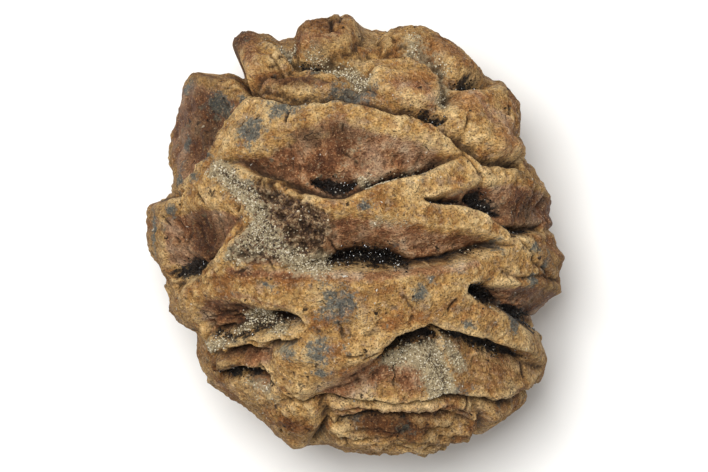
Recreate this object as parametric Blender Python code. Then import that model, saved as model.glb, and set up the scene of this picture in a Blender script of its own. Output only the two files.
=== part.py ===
"""A fossil dawn redwood cone: one petrified piece that lies on its side on a small flat spot.

The cone's axis runs along Y with its tip at +Y. +Z is up, towards the side that shows. The origin is on the
resting plane under the middle of the cone. Every size below is in millimetres, and MM turns it into metres.

A place is written as (x, y): where it shows from above, measured from the body's middle. A place outside the
outline lies on the far side, as far behind the rim as it is written outside it.
"""

import math

import bmesh
import bpy
import numpy as np
from mathutils import Vector, noise

MM = 0.001
SEED = 11

# Driving sizes of the body: its middle is RESTING_DEPTH above the resting plane
WIDTH = 36.0
LENGTH = 37.6
FRONT_DEPTH = 15.2
BACK_DEPTH = 13.6
RESTING_DEPTH = 12.9
MEAN_RADIUS = 17.5

# The outline seen from above, from the tip's left side round to the right. It is read every OUTLINE_STEP
# degrees and smoothed: each step counts less with its distance, over OUTLINE_WINDOW steps to each side
OUTLINE = [
    (-10.5, 16.1), (-10.1, 16.8), (-9.4, 17.4), (-8.1, 17.2), (-7.1, 17.3), (-6.6, 16.7), (-6.1, 17),
    (-5.2, 17.2), (-4.9, 17.9), (-3.8, 18.4), (-2.3, 18.5), (-0.8, 18.8), (0, 18.6), (0.6, 18),
    (1.3, 17.7), (2.8, 17.5), (3.8, 17.9), (4.8, 18), (6.1, 17.7), (7.4, 17), (8.4, 16.6), (9.4, 15.8),
    (10.4, 14.9), (11.1, 13.9), (11.8, 13.5), (12.4, 13.5), (12.9, 13), (13.3, 12.3), (14, 11.4),
    (14, 10.2), (13.8, 9.4), (14.2, 8.3), (14.7, 7.1), (15, 6.3), (16, 5), (16.5, 4.4), (17.1, 3.5),
    (17.4, 2.3), (17.5, 1.4), (17.1, 0.9), (16.6, 0.6), (17.1, 0.1), (17.3, -0.7), (18.1, -1.6),
    (17.8, -2.3), (17.5, -3.1), (17.7, -4.1), (17.7, -5.6), (17.5, -6.9), (17.1, -7.8), (15.9, -8.9),
    (16.4, -9.9), (16.4, -10.7), (16, -12), (15.1, -13.5), (14, -14.8), (12.4, -15.9), (10.4, -17),
    (8.4, -17.5), (6.3, -18.1), (4.3, -18.4), (2.8, -18.7), (2.5, -18.4), (2.2, -18.7), (-0.2, -18.6),
    (-2.3, -18.1), (-3.8, -17.8), (-5.1, -18.1), (-6.1, -17.5), (-7.1, -16.5), (-8.4, -15.5),
    (-9.9, -14.5), (-10.9, -13.7), (-12.2, -12.7), (-13.1, -11.7), (-13.6, -10.2), (-13.7, -8.2),
    (-14.6, -7.6), (-15.2, -7.1), (-16, -6.4), (-16, -4.9), (-16.4, -4.1), (-17, -2.8), (-17.6, -1.6),
    (-17.9, 0.2), (-17.9, 1.7), (-18, 2.8), (-17.3, 3.5), (-16, 3.9), (-15.8, 4.8), (-16, 6.6),
    (-16.1, 7.8), (-16, 9.4), (-15.9, 10.9), (-15.2, 12.2), (-14.8, 13.2), (-14, 14.2), (-11.7, 13.9),
    (-10.3, 14.1), (-9.3, 13.2), (-9.6, 14.6),
]
OUTLINE_STEP = 0.5
OUTLINE_ROUNDING = 1.2
OUTLINE_WINDOW = 8

# From how far out towards the rim the body follows the outline, as a share
OUTLINE_FROM = 0.8

# Rounding of a hollow's rim and of the crease in its floor, how wide the crease is and how hollow the faces
EDGE_ROUND = 0.6
VALLEY_ROUND = 0.25
CREASE_WIDTH = 0.4
FACE_POWER = 0.62


def hollow(rim, crease, depth, crease_depth):
    """A lens-shaped hollow between scales: its faces slope in from the rim to a crease."""
    return {"rim": rim, "crease": crease, "depth": depth, "crease_depth": crease_depth}


HOLLOWS = {
    "upper_middle": hollow(
        [
            (-12.1, 7), (-9.6, 7.6), (-7.6, 7.7), (-5.3, 8.9), (-2.8, 9), (-0.9, 10.2), (0.8, 9.7),
            (3.3, 9.2), (5.8, 8.6), (7.9, 7.8), (9.5, 7.3), (7.1, 6.1), (5.1, 5.2), (3.1, 4.7), (1, 4),
            (-0.8, 3.4), (-2.8, 3.5), (-4.8, 4), (-6.8, 5), (-8.9, 5.6), (-10.7, 6.5),
        ],
        [
            (-8.9, 6.1), (-6.3, 5), (-4.1, 4.4), (-1.5, 4), (0.3, 4.6), (2.5, 5.3), (5.3, 6.2),
            (7.9, 6.9),
        ],
        3.6, 0.6,
    ),
    "middle": hollow(
        [
            (-10.8, -2.3), (-9.4, -0.3), (-7.4, 1.1), (-4.1, 2.1), (-1.3, 2.3), (1.3, 2.3), (3.8, 1.7),
            (7.6, 0.9), (10.9, 0.4), (14, -0.8), (11.4, -1.8), (8.9, -2.4), (6.3, -2.9), (3.8, -3.1),
            (0.8, -3), (-2.3, -2.9), (-4.8, -2.9), (-7.9, -3),
        ],
        [
            (-3.8, -2.5), (-1.3, -2.1), (0.8, -1.9), (2.8, -2), (5.1, -2.4), (7.6, -2), (10.2, -1.6),
            (12.4, -1),
        ],
        3.2, 0.6,
    ),
    "lower_middle": hollow(
        [
            (-3.3, -13.3), (-0.2, -11.5), (2.3, -9.9), (3.4, -8.5), (6.3, -7.3), (8.9, -8.2),
            (11.4, -8.9), (14, -9.5), (15.1, -10.3), (13.7, -11.7), (11.4, -13), (8.9, -13.9),
            (7.6, -14.1), (5.1, -14.3), (2.5, -14.5), (-0.2, -14.3), (-2.3, -13.9),
        ],
        [(2.5, -9.4), (4.6, -8.5), (6.3, -8.1), (8.4, -8.9), (10.9, -9.4), (13.7, -10.1)],
        3.2, 0.6,
    ),
    "left": hollow(
        [
            (-16.4, 2.1), (-14, 2.8), (-11.4, 2.6), (-8.9, 1.9), (-10.5, 0.6), (-11.4, -1),
            (-12.7, -2.3), (-13.8, -3.7), (-15.7, -4.2), (-16.9, -2.6),
        ],
        [(-11.4, -0.7), (-12.9, -2), (-13.8, -2.8), (-15.2, -3.6)],
        2.3, 0.5,
    ),
    "lower_left": hollow(
        [
            (-14, -6.4), (-12.7, -5.1), (-10.7, -5.3), (-8.1, -6.1), (-5.8, -6.7), (-3.7, -7.5),
            (-4.8, -8.2), (-7.1, -8.5), (-9.4, -8.5), (-11.4, -9.3), (-13.1, -9.6), (-13.8, -8.2),
        ],
        [(-12.9, -8.9), (-9.9, -8.2), (-7.4, -7.9), (-4.6, -7.4)],
        2.6, 0.3,
    ),
    "lower_left_layer": hollow(
        [
            (-13.1, -10.2), (-10.7, -9.6), (-7.9, -9.2), (-4.8, -8.5), (-3.7, -8.2), (-4.8, -9.4),
            (-6.5, -10.2), (-6.8, -11.5), (-7.9, -11.8), (-9.4, -11.1), (-11.4, -10.7),
        ],
        [(-10.7, -10.2), (-7.9, -9.7), (-4.8, -8.7)],
        1.3, 0.3,
    ),
    "upper_left": hollow(
        [
            (-16, 9.1), (-15, 11.6), (-13.8, 12.7), (-11.4, 12.7), (-9, 12.5), (-10.3, 10.6),
            (-11.7, 9.1), (-12.4, 7.6), (-13.8, 5.8), (-15.9, 4.5),
        ],
        [(-9.3, 12.2), (-11.4, 9.4), (-12.7, 7.3), (-14.3, 5.7)],
        1.9, 0.3,
    ),
    "right": hollow(
        [
            (5.2, 3.4), (7.9, 4.3), (10.2, 5.1), (12.9, 5.5), (15.7, 4.8), (18.5, 3.8), (20.1, 2.3),
            (19, 0.2), (15, 0.2), (13.1, 0.7), (11.4, 1.9), (9.4, 2.5), (7.4, 3.1),
        ],
        [(6, 3.4), (8.6, 3.3), (10.2, 3.1), (11.6, 2.2), (13.5, 0.7), (16.5, 0.4)],
        2.5, 0.5,
    ),
    "lower_right": hollow(
        [
            (9.3, -4.9), (11.4, -4.1), (13.7, -4), (16.5, -4.2), (18.8, -5), (20.1, -6.6), (19, -8.4),
            (16.5, -9.4), (14.7, -8.2), (12.7, -6.9), (10.9, -5.9),
        ],
        [(9.9, -5), (11.9, -5.9), (14, -7.1), (15.5, -8.1), (16.8, -8.9)],
        2.8, 0.5,
    ),
    "foot_left": hollow(
        [
            (-11.2, -12), (-10.4, -11.4), (-8.9, -11.4), (-7.1, -11.9), (-6.8, -13.7), (-8.1, -14.2),
            (-9.6, -13.2),
        ],
        [(-10.7, -12), (-8.9, -11.8), (-7.2, -12.3)],
        1.6, 0.2,
    ),
    "foot_pocket": hollow(
        [
            (-2.8, -14.1), (0.3, -14.6), (3.3, -14.9), (7.9, -14.2), (10.2, -14.1), (9.1, -15.5),
            (6.3, -16.1), (2.8, -16.5), (-1.3, -16.5), (-2.7, -15.5),
        ],
        [(-1.8, -16.1), (1.3, -16), (5.3, -15.8), (7.9, -15.4)],
        1.5, 0.2,
    ),
}


def pad(edge, height, rounding=1.3):
    """A blunt head of a scale: it stands out of the surface inside its edge."""
    return {"edge": edge, "height": height, "rounding": rounding}


PADS = {
    "tip_knob": pad([
        (-10.7, 16.2), (-9.6, 17.5), (-7.1, 17.4), (-6.5, 16.2), (-5.2, 15.5), (-4.9, 14.6),
        (-5.8, 13.9), (-6.8, 13.4), (-8.9, 12.6), (-9.3, 13.2), (-9.3, 14.4), (-10.1, 15.1),
    ], 1.4, 1.1),
    "tip_middle": pad([
        (-5.1, 17.5), (-3.8, 18.5), (-0.8, 19.1), (0.6, 18.1), (0.7, 17), (-0.2, 15.7), (-2.5, 15.2),
        (-4.8, 15.3), (-5.2, 16.5),
    ], 1.2, 1.6),
    "tip_right": pad([
        (1.7, 17.4), (3.1, 18), (5, 18.5), (7.4, 17.6), (9.8, 15.7), (11.4, 13.8), (9, 13.4),
        (7.6, 14.1), (6, 15.8), (3.8, 16.4), (2.3, 16.2),
    ], 0.9, 1.2),
    "tip_chip": pad([
        (-8.5, 12.7), (-7.6, 13.4), (-5.6, 14.2), (-3.3, 13.9), (-1.5, 13.2), (-1.3, 12.5),
        (-2.8, 11.9), (-4.8, 12), (-7.1, 12.5),
    ], 1.3, 0.6),
    "shoulder_middle": pad([
        (0.5, 13.2), (1.5, 14.3), (3.3, 14.8), (5.3, 14.6), (6.7, 13.4), (7.1, 11.5), (5.8, 10.6),
        (3.8, 11), (2, 11.8),
    ], 1.3, 1.6),
    "shoulder_right": pad([
        (7.7, 12.4), (10.7, 13.1), (12.6, 13.7), (14.2, 12.2), (14.7, 9.9), (14.9, 8.1), (15.1, 6.8),
        (12.4, 6.8), (10.2, 7.6), (7.9, 9.1), (7.1, 10.6),
    ], 0.9, 1.5),
    "upper_left_ledge": pad(
        [(-14.7, 12.8), (-13.8, 14.2), (-11.7, 13.9), (-10.1, 14), (-9.2, 13), (-11.4, 12.7)], 0.5, 0.5
    ),
    "crest": pad([
        (-11.9, 7.2), (-10.4, 9.9), (-8.8, 12.6), (-7.1, 12.4), (-4.8, 11.8), (-1.3, 12.1), (1, 11.5),
        (3.3, 10.7), (6.3, 10.2), (7.9, 8.8), (9.3, 7.3), (7.9, 7.9), (5.8, 8.6), (3.3, 9.3),
        (0.8, 9.8), (-0.9, 10.3), (-2.8, 9), (-5.3, 8.9), (-7.6, 7.7), (-9.6, 7.6),
    ], 0.5, 1.2),
    "cross_foot": pad([
        (-6.9, -10.2), (-6, -8.7), (-3.8, -7.9), (-1.3, -8.3), (1.8, -8.1), (3, -8.7), (2.3, -9.9),
        (-0.2, -11.5), (-2.8, -13), (-3.8, -14.1), (-5.3, -13.9), (-6.6, -12.7),
    ], 1.0, 1.7),
    "lower_left_knob": pad([
        (-12.5, -11), (-11.4, -10.2), (-9.4, -10.2), (-7.9, -11), (-7.9, -11.6), (-9.9, -11.5),
        (-11.4, -12),
    ], 0.8, 0.9),
    "foot_left": pad([
        (-6.8, -14.1), (-4.8, -13.8), (-3, -14.2), (-2.5, -16), (-3.2, -17.7), (-5.3, -18.1),
        (-6.7, -16.7), (-8.4, -15.1),
    ], 0.9, 1.3),
    "foot_right": pad([
        (9.6, -15.1), (10.9, -14), (13.7, -12.6), (15.9, -11.7), (15.5, -13.7), (13.1, -15.6),
        (10.5, -17.2), (9.1, -16.8),
    ], 0.6, 1.3),
    "fill": pad([
        (-10.4, -2.3), (-10.5, -0.3), (-8.8, 1.1), (-7.1, 1.6), (-4.8, 2.3), (-2.5, 2.1), (-1.5, 0.7),
        (-2.5, -1), (-3.8, -2.3), (-7.6, -2.9),
    ], 1.2, 1.2),
    "foot_band": pad([
        (-1.3, -16.5), (2.8, -16.6), (6.3, -16.2), (8.9, -15.5), (8.9, -17), (5.3, -17.8), (1.3, -18.1),
        (-2.3, -17.5),
    ], 0.5, 0.9),
}


def groove(line, width, depth):
    """A narrow valley along a line of places."""
    return {"line": line, "width": width, "depth": depth}


GROOVES = {
    "crown_edge": groove(
        [
            (-8.9, 12.6), (-7.1, 12.4), (-4.8, 11.8), (-2.3, 11.9), (-1.3, 12.1), (0.8, 11.6),
            (3.3, 10.7), (6.3, 10.3), (7.9, 8.9), (9.1, 8), (10.7, 6.9), (14.7, 6.6),
        ],
        0.4, 0.9,
    ),
    "knob_neck": groove([(-10.1, 14.9), (-9.4, 13.9), (-9.2, 12.9)], 0.4, 1.2),
    "knob_valley": groove([(-7.1, 16.7), (-6.3, 16), (-5.1, 14.9)], 0.45, 0.9),
    "tip_valley": groove([(-4.8, 15.1), (-2.5, 15), (-0.5, 14.6), (0.5, 13.5), (-0.2, 12.6)], 0.9, 0.8),
    "tip_slope": groove([(0.8, 15.6), (2.5, 16.1), (5.7, 15.6), (7.4, 13.8), (7.7, 12.2)], 0.8, 0.7),
    "tip_crack": groove([(-1.8, 17.8), (-1.7, 16.5)], 0.2, 0.6),
    "foot_line": groove(
        [
            (-2.5, -14), (0.3, -14.6), (2.8, -14.9), (5.3, -14.6), (7.9, -14.2), (10.2, -13.9),
            (12.7, -13), (14.7, -11.9), (16.2, -10.7),
        ],
        0.45, 1.3,
    ),
    "foot_left_side": groove([(-2.8, -14.1), (-2.4, -16), (-3.8, -18.1)], 0.5, 0.9),
    "foot_right_side": groove([(9.8, -14.2), (9.2, -16.5), (8.4, -17.8)], 0.5, 0.8),
    "lip_split": groove([(7, -10.4), (7.6, -12), (7.9, -13.5)], 0.5, 0.7),
    "left_notch": groove([(-18, 3.3), (-16.7, 3.8), (-15.2, 4.3)], 0.5, 0.8),
    "left_foot_notch": groove([(-16.5, -4.5), (-15, -4), (-13.6, -3.6)], 0.5, 0.7),
}

# The dark openings in the creases, where the scales part: line, width and depth
OPEN_SLITS = {
    "upper_middle_pocket": groove([(-3.2, 4.8), (-1.3, 4.4), (-0.1, 4.7)], 0.7, 2.0),
    "upper_middle_slit": groove([(1.8, 5.2), (3.8, 5.8), (5.6, 6.2), (7.4, 6.8)], 0.33, 1.1),
    "middle_slit": groove([(-1.5, -2.2), (0.8, -1.9), (3.1, -2), (4.1, -2.2)], 0.62, 2.6),
    "middle_end": groove([(5.1, -2.4), (7.6, -2), (10.2, -1.6), (12.4, -1)], 0.28, 0.7),
    "left_pocket": groove([(-14.3, -3), (-13.3, -2.5)], 0.5, 1.5),
    "lower_left_slit": groove([(-7.1, -7.5), (-5.2, -7.3)], 0.42, 1.3),
    "lower_left_crease": groove([(-11.4, -9.2), (-9.1, -8.6), (-7.4, -8.3)], 0.3, 0.7),
    "lower_middle_pocket": groove([(3, -8.7), (4.8, -8.2), (6.3, -7.9)], 0.75, 2.2),
    "lower_middle_slit": groove([(7.9, -8.7), (10.9, -9.4), (13.7, -10.1)], 0.3, 1.0),
    "right_slit": groove([(5.8, 3.4), (8.6, 3.3)], 0.25, 0.8),
    "right_pocket": groove([(9.5, 3.4), (11, 2.7)], 0.5, 1.3),
    "right_crease": groove([(11.4, 2.1), (13.5, 0.7), (16.5, 0.4)], 0.35, 0.9),
    "lower_right_slit": groove([(9.9, -5), (11.2, -5.5), (12.7, -6.4)], 0.5, 1.7),
    "lower_right_end": groove([(13.8, -7.1), (15, -7.8), (16.2, -8.7)], 0.45, 1.5),
    "tip_pocket": groove([(-4.7, 14.7), (-3.7, 14.5), (-2.7, 14.2)], 0.42, 1.5),
    "tip_right_pocket": groove([(9, 13.3), (10.9, 13.3)], 0.5, 1.6),
    "crown_pocket": groove([(6, 10.6), (7.1, 10.4)], 0.4, 1.4),
    "foot_left_recess": groove([(-10.7, -12), (-8.9, -11.9), (-7.2, -12.3)], 0.42, 1.0),
    "foot_band_slit": groove([(-1.8, -16.2), (1.3, -16.1), (5.3, -15.9)], 0.3, 0.8),
}

# Hollows of the sides and the underside, which stand in ranks with each rank half a step off the next
RANKS = {-104: 5.2, -156: 9.6, 148: 5.6}
RANK_STEP = 8.6
RANK_LEVELS = 3
RANK_HALF_WIDTH = 27.0
RANK_DEPTH = 3.0
RANK_CREASE_DEPTH = 0.4
RANK_OPEN_WIDTH = 0.5
RANK_OPEN_DEPTH = 1.6
RANK_OPEN_SHARE = 0.4
RANK_WANDER = 0.7
RANK_RISES = (3.2, 4.0)
RANK_SAGS = (0.9, 1.5)
RANK_CORNERS = 9
RANK_CREASE_SHARE = 0.75

# Blunt scales on the far side of the tip and of the foot: degrees round the axis and level
FAR_SCALES = [
    (-150, 14.6), (-95, 14.2), (100, 14.6), (155, 14.9),
    (-152, -14.7), (-98, -14.0), (104, -14.4), (158, -15.4),
]
FAR_SCALE_HALF_WIDTH = 22.0
FAR_SCALE_HALF_LENGTH = 2.3
FAR_SCALE_HEIGHT = 1.1
FAR_SCALE_CORNER_STEP = 40

# The scar of the stem at the foot: a low ring round a pit
SCAR_PLACE = (0.05, -0.93, -0.36)
SCAR_RADIUS = 2.7
SCAR_RING_WIDTH = 0.8
SCAR_RING_HEIGHT = 0.6
SCAR_PIT_RADIUS = 1.35
SCAR_PIT_DEPTH = 0.9

# How far out from the middle of the underside the relief starts and is full
SPOT_CLEAR = 5.6
SPOT_FULL = 9.0

# How high over or under the rim, as a share of the depth, a scale's head stands out fully
RIM_CLEAR = 0.05
RIM_FULL = 0.4

# Waviness of every edge and line, then unevenness of the surface: how strong, and the waves to the radius
WANDERS = ((0.016, 4.0), (0.006, 13.0))
LUMPS = ((0.4, 5.0), (0.26, 12.0), (0.15, 26.0))

SPHERE_SUBDIVISIONS = 7
KEPT_SHARE = 0.133
FLAT_TOLERANCE = 0.02

STONE_COLOUR = (0.26, 0.165, 0.08, 1.0)
STONE_ROUGHNESS = 0.85


def unit(vector):
    return vector / np.linalg.norm(vector)


def seen(place):
    """The direction from the body's middle to a place."""
    across, along = place[0] / (WIDTH / 2), place[1] / (LENGTH / 2)
    flat = math.hypot(across, along)
    ring = min(flat, 2 - flat)
    height = math.copysign(math.sqrt(1 - ring * ring), 1 - flat)
    return np.array([across * ring / flat, along * ring / flat, height])


def turned(around, level):
    """The direction at some degrees round the axis, from straight up to the right, and at a level on it."""
    along = level / (LENGTH / 2)
    ring = math.sqrt(1 - along * along)
    angle = math.radians(around)
    return np.array([ring * math.sin(angle), along, ring * math.cos(angle)])


def fade(value, low, high):
    share = np.clip((value - low) / (high - low), 0, 1)
    return share * share * (3 - 2 * share)


def rolled_out(directions, middle):
    """Where directions lie on a flat map round a middle, in millimetres to the right and towards the tip."""
    level = unit(np.cross([0, 1, 0], middle))
    upward = np.cross(middle, level)
    away = np.arccos(np.clip(directions @ middle, -1, 1))
    reach = away / np.maximum(np.sin(away), 1e-9) * MEAN_RADIUS
    return np.stack([directions @ level * reach, directions @ upward * reach], axis=1)


def to_line(points, line):
    """How far points of the map are from a line."""
    nearest = np.full(len(points), np.inf)
    for start, end in zip(line, line[1:]):
        way = end - start
        share = np.clip((points - start) @ way / (way @ way), 0, 1)
        nearest = np.minimum(nearest, np.linalg.norm(points - start - share[:, None] * way, axis=1))
    return nearest


def inside_by(points, edge):
    """How far points of the map are inside an edge, and nothing for those outside it."""
    within = np.zeros(len(points), bool)
    for (ax, ay), (bx, by) in zip(edge, np.roll(edge, -1, axis=0)):
        if ay == by:
            continue
        crosses = (points[:, 1] < ay) != (points[:, 1] < by)
        within ^= crosses & (points[:, 0] < ax + (points[:, 1] - ay) / (by - ay) * (bx - ax))
    return np.where(within, to_line(points, np.vstack([edge, edge[:1]])), 0)


def carved(directions, rim, crease, depth, crease_depth):
    """How deep a hollow lies under the surface."""
    middle = unit(rim.mean(axis=0))
    points = rolled_out(directions, middle)
    inside = inside_by(points, rolled_out(rim, middle))
    rounded = np.hypot(inside, EDGE_ROUND) - EDGE_ROUND
    to_crease = to_line(points, rolled_out(crease, middle))
    share = rounded / (rounded + np.hypot(to_crease, VALLEY_ROUND))
    narrow = np.exp(-((to_crease / CREASE_WIDTH) ** 2)) * fade(inside, 0, EDGE_ROUND)
    return depth * share**FACE_POWER + crease_depth * narrow


def raised(directions, edge, height, rounding):
    """How far the head of a scale stands out of the surface."""
    middle = unit(edge.mean(axis=0))
    inside = inside_by(rolled_out(directions, middle), rolled_out(edge, middle))
    slope = 1 - np.minimum(inside / rounding, 1)
    return height * (1 - slope * slope)


def grooved(directions, line, width, depth):
    """How deep a groove is cut."""
    middle = unit(line.mean(axis=0))
    away = to_line(rolled_out(directions, middle), rolled_out(line, middle))
    return depth * np.exp(-((away / width) ** 2))


def far_hollows(draw):
    """The rims, creases and open slits of the hollows in ranks round the sides and the underside."""
    steps = np.linspace(-1, 1, RANK_CORNERS)
    for around, top_level in RANKS.items():
        for row in range(RANK_LEVELS):
            level = top_level - RANK_STEP * row + draw.uniform(-RANK_WANDER, RANK_WANDER)
            rise = draw.uniform(*RANK_RISES)
            sag = draw.uniform(*RANK_SAGS)
            upper = [turned(around + RANK_HALF_WIDTH * t, level + rise * (1 - t * t)) for t in steps]
            lower = [turned(around + RANK_HALF_WIDTH * t, level - sag * (1 - t * t)) for t in steps[-2:0:-1]]
            crease = [turned(around + RANK_HALF_WIDTH * RANK_CREASE_SHARE * t, level) for t in steps]
            opening = [turned(around + RANK_HALF_WIDTH * RANK_OPEN_SHARE * t, level) for t in steps]
            yield np.array(upper + lower), np.array(crease), np.array(opening)


def far_scale_edges():
    """The edges of the blunt scales on the far side."""
    corners = np.radians(np.arange(0, 360, FAR_SCALE_CORNER_STEP))
    for around, level in FAR_SCALES:
        yield np.array([
            turned(around + FAR_SCALE_HALF_WIDTH * math.cos(a), level + FAR_SCALE_HALF_LENGTH * math.sin(a))
            for a in corners
        ])


def scar(directions):
    """The height of the stem's scar."""
    away = np.linalg.norm(directions - unit(np.array(SCAR_PLACE)), axis=1) * MEAN_RADIUS
    ring = SCAR_RING_HEIGHT * np.exp(-(((away - SCAR_RADIUS) / SCAR_RING_WIDTH) ** 2))
    return ring - SCAR_PIT_DEPTH * np.exp(-((away / SCAR_PIT_RADIUS) ** 2))


def relief(directions):
    """The height of the scales over the smooth body."""
    height = scar(directions)
    for shape in HOLLOWS.values():
        rim = np.array([seen(place) for place in shape["rim"]])
        crease = np.array([seen(place) for place in shape["crease"]])
        height -= carved(directions, rim, crease, shape["depth"], shape["crease_depth"])
    for rim, crease, opening in far_hollows(np.random.default_rng(SEED)):
        height -= carved(directions, rim, crease, RANK_DEPTH, RANK_CREASE_DEPTH)
        height -= grooved(directions, opening, RANK_OPEN_WIDTH, RANK_OPEN_DEPTH)
    off_rim = fade(np.abs(directions[:, 2]), RIM_CLEAR, RIM_FULL)
    for shape in PADS.values():
        edge = np.array([seen(place) for place in shape["edge"]])
        height += off_rim * raised(directions, edge, shape["height"], shape["rounding"])
    for edge in far_scale_edges():
        height += off_rim * raised(directions, edge, FAR_SCALE_HEIGHT, FAR_SCALE_HEIGHT)
    for shape in [*GROOVES.values(), *OPEN_SLITS.values()]:
        line = np.array([seen(place) for place in shape["line"]])
        height -= grooved(directions, line, shape["width"], shape["depth"])
    from_spot = np.hypot(directions[:, 0], directions[:, 1]) * MEAN_RADIUS
    near_spot = (directions[:, 2] < 0) * (1 - fade(from_spot, SPOT_CLEAR, SPOT_FULL))
    return height * (1 - near_spot)


def outline_reach(bearing):
    """The outline's distance from the middle at each bearing, from above."""
    x, y = np.array(OUTLINE).T
    corners = np.arctan2(y, x)
    order = np.argsort(corners)
    turns = np.arange(-180, 180, OUTLINE_STEP)
    reach = np.interp(np.radians(turns), corners[order], np.hypot(x, y)[order], period=2 * math.pi)
    window = np.arange(-OUTLINE_WINDOW, OUTLINE_WINDOW + 1)
    spread = np.exp(-((window / OUTLINE_ROUNDING) ** 2))
    around = np.concatenate([reach[-OUTLINE_WINDOW:], reach, reach[:OUTLINE_WINDOW]])
    smooth = np.convolve(around, spread / spread.sum(), "valid")
    return np.interp(bearing, np.radians(turns), smooth, period=2 * math.pi)


def body(directions):
    """Places on the smooth body: the outline at its rim, and an even oval towards its top and underside."""
    x, y, z = directions.T
    bearing = np.arctan2(y, x)
    oval = 1 / np.hypot(np.cos(bearing) / (WIDTH / 2), np.sin(bearing) / (LENGTH / 2))
    rim = fade(np.hypot(x, y), OUTLINE_FROM, 1)
    reach = oval + (outline_reach(bearing) - oval) * rim
    depth = np.where(z > 0, FRONT_DEPTH, BACK_DEPTH)
    return np.stack([x * reach, y * reach, z * depth], axis=1)


def surface(directions):
    """Places on the cone's surface, in millimetres from the body's middle."""
    moved = directions.copy()
    lumps = np.zeros(len(directions))
    for i, d in enumerate(map(Vector, directions)):
        for strength, waves in WANDERS:
            moved[i] += strength * np.array(noise.noise_vector(d * waves))
        for strength, waves in LUMPS:
            lumps[i] += strength * noise.noise(d * waves)
    moved /= np.linalg.norm(moved, axis=1)[:, None]
    outward = directions / np.array([WIDTH, LENGTH, FRONT_DEPTH + BACK_DEPTH])
    outward /= np.linalg.norm(outward, axis=1)[:, None]
    return body(directions) + outward * (relief(moved) + lumps)[:, None]


def flattened(places):
    """Places cut level at the underside, with the box's middle over the origin and its bottom at zero."""
    spot = places[:, 2] < FLAT_TOLERANCE - RESTING_DEPTH
    places[spot, 2] = -RESTING_DEPTH
    low, high = places.min(axis=0), places.max(axis=0)
    return places - np.array([(low[0] + high[0]) / 2, (low[1] + high[1]) / 2, low[2]])


def move_vertices(mesh, places):
    mesh.vertices.foreach_set("co", (places * MM).astype(np.float32).ravel())
    mesh.update()


def vertex_places(mesh):
    places = np.empty(len(mesh.vertices) * 3, np.float32)
    mesh.vertices.foreach_get("co", places)
    return places.reshape(-1, 3).astype(float) / MM


def make_sphere():
    mesh = bpy.data.meshes.new("fossil_cone")
    shape = bmesh.new()
    bmesh.ops.create_icosphere(shape, subdivisions=SPHERE_SUBDIVISIONS, radius=MM)
    shape.to_mesh(mesh)
    shape.free()
    return mesh


def stone():
    material = bpy.data.materials.new("fossil_stone")
    material.use_nodes = True
    shader = material.node_tree.nodes["Principled BSDF"]
    shader.inputs["Base Color"].default_value = STONE_COLOUR
    shader.inputs["Roughness"].default_value = STONE_ROUGHNESS
    shader.inputs["Metallic"].default_value = 0.0
    return material


def make_cone():
    mesh = make_sphere()
    move_vertices(mesh, surface(vertex_places(mesh)))
    cone = bpy.data.objects.new("fossil_cone", mesh)
    bpy.context.scene.collection.objects.link(cone)
    fewer = cone.modifiers.new("fewer_faces", "DECIMATE")
    fewer.ratio = KEPT_SHARE
    graph = bpy.context.evaluated_depsgraph_get()
    cone.data = bpy.data.meshes.new_from_object(cone.evaluated_get(graph))
    cone.modifiers.clear()
    move_vertices(cone.data, flattened(vertex_places(cone.data)))
    cone.data.materials.append(stone())
    cone.data.shade_smooth()


for old in list(bpy.data.objects):
    bpy.data.objects.remove(old)
make_cone()
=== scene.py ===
import math

import bmesh
import bpy
import numpy as np
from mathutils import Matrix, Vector, kdtree, noise


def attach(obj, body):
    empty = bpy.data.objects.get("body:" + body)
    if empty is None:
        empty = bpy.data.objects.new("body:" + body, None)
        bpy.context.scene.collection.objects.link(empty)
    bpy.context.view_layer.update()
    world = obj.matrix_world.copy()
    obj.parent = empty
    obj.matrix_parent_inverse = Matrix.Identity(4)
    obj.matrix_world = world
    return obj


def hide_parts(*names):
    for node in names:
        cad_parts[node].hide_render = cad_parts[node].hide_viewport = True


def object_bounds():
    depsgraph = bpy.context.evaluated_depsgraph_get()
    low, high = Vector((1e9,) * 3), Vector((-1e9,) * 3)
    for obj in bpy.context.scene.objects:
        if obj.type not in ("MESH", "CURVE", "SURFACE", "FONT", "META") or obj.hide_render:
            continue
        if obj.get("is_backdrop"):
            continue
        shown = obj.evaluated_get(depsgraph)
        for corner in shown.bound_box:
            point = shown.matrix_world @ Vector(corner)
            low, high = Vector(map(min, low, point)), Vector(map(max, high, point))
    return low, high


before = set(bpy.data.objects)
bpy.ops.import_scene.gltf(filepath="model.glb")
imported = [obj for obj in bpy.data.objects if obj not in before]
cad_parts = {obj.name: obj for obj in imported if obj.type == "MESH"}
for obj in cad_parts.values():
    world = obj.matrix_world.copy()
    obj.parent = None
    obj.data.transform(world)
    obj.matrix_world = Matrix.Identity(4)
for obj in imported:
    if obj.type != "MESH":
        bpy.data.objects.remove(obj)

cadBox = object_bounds()
mm = 0.001


def toLinear(hexColour):
    channels = [int(hexColour[i:i + 2], 16) / 255 for i in (1, 3, 5)]
    return [c / 12.92 if c <= 0.04045 else ((c + 0.055) / 1.055) ** 2.4 for c in channels] + [1.0]


def addNode(tree, kind, inputs=None, stops=None, **settings):
    node = tree.nodes.new(kind)
    for name, value in settings.items():
        setattr(node, name, value)
    for name, value in (inputs or {}).items():
        if isinstance(value, bpy.types.NodeSocket):
            tree.links.new(value, node.inputs[name])
        else:
            node.inputs[name].default_value = value
    for number, (position, tone) in enumerate(stops or []):  # the colours of a ramp, from low to high
        elements = node.color_ramp.elements
        element = elements[number] if number < 2 else elements.new(position)
        element.position = position
        element.color = toLinear(tone)
    return node


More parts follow.
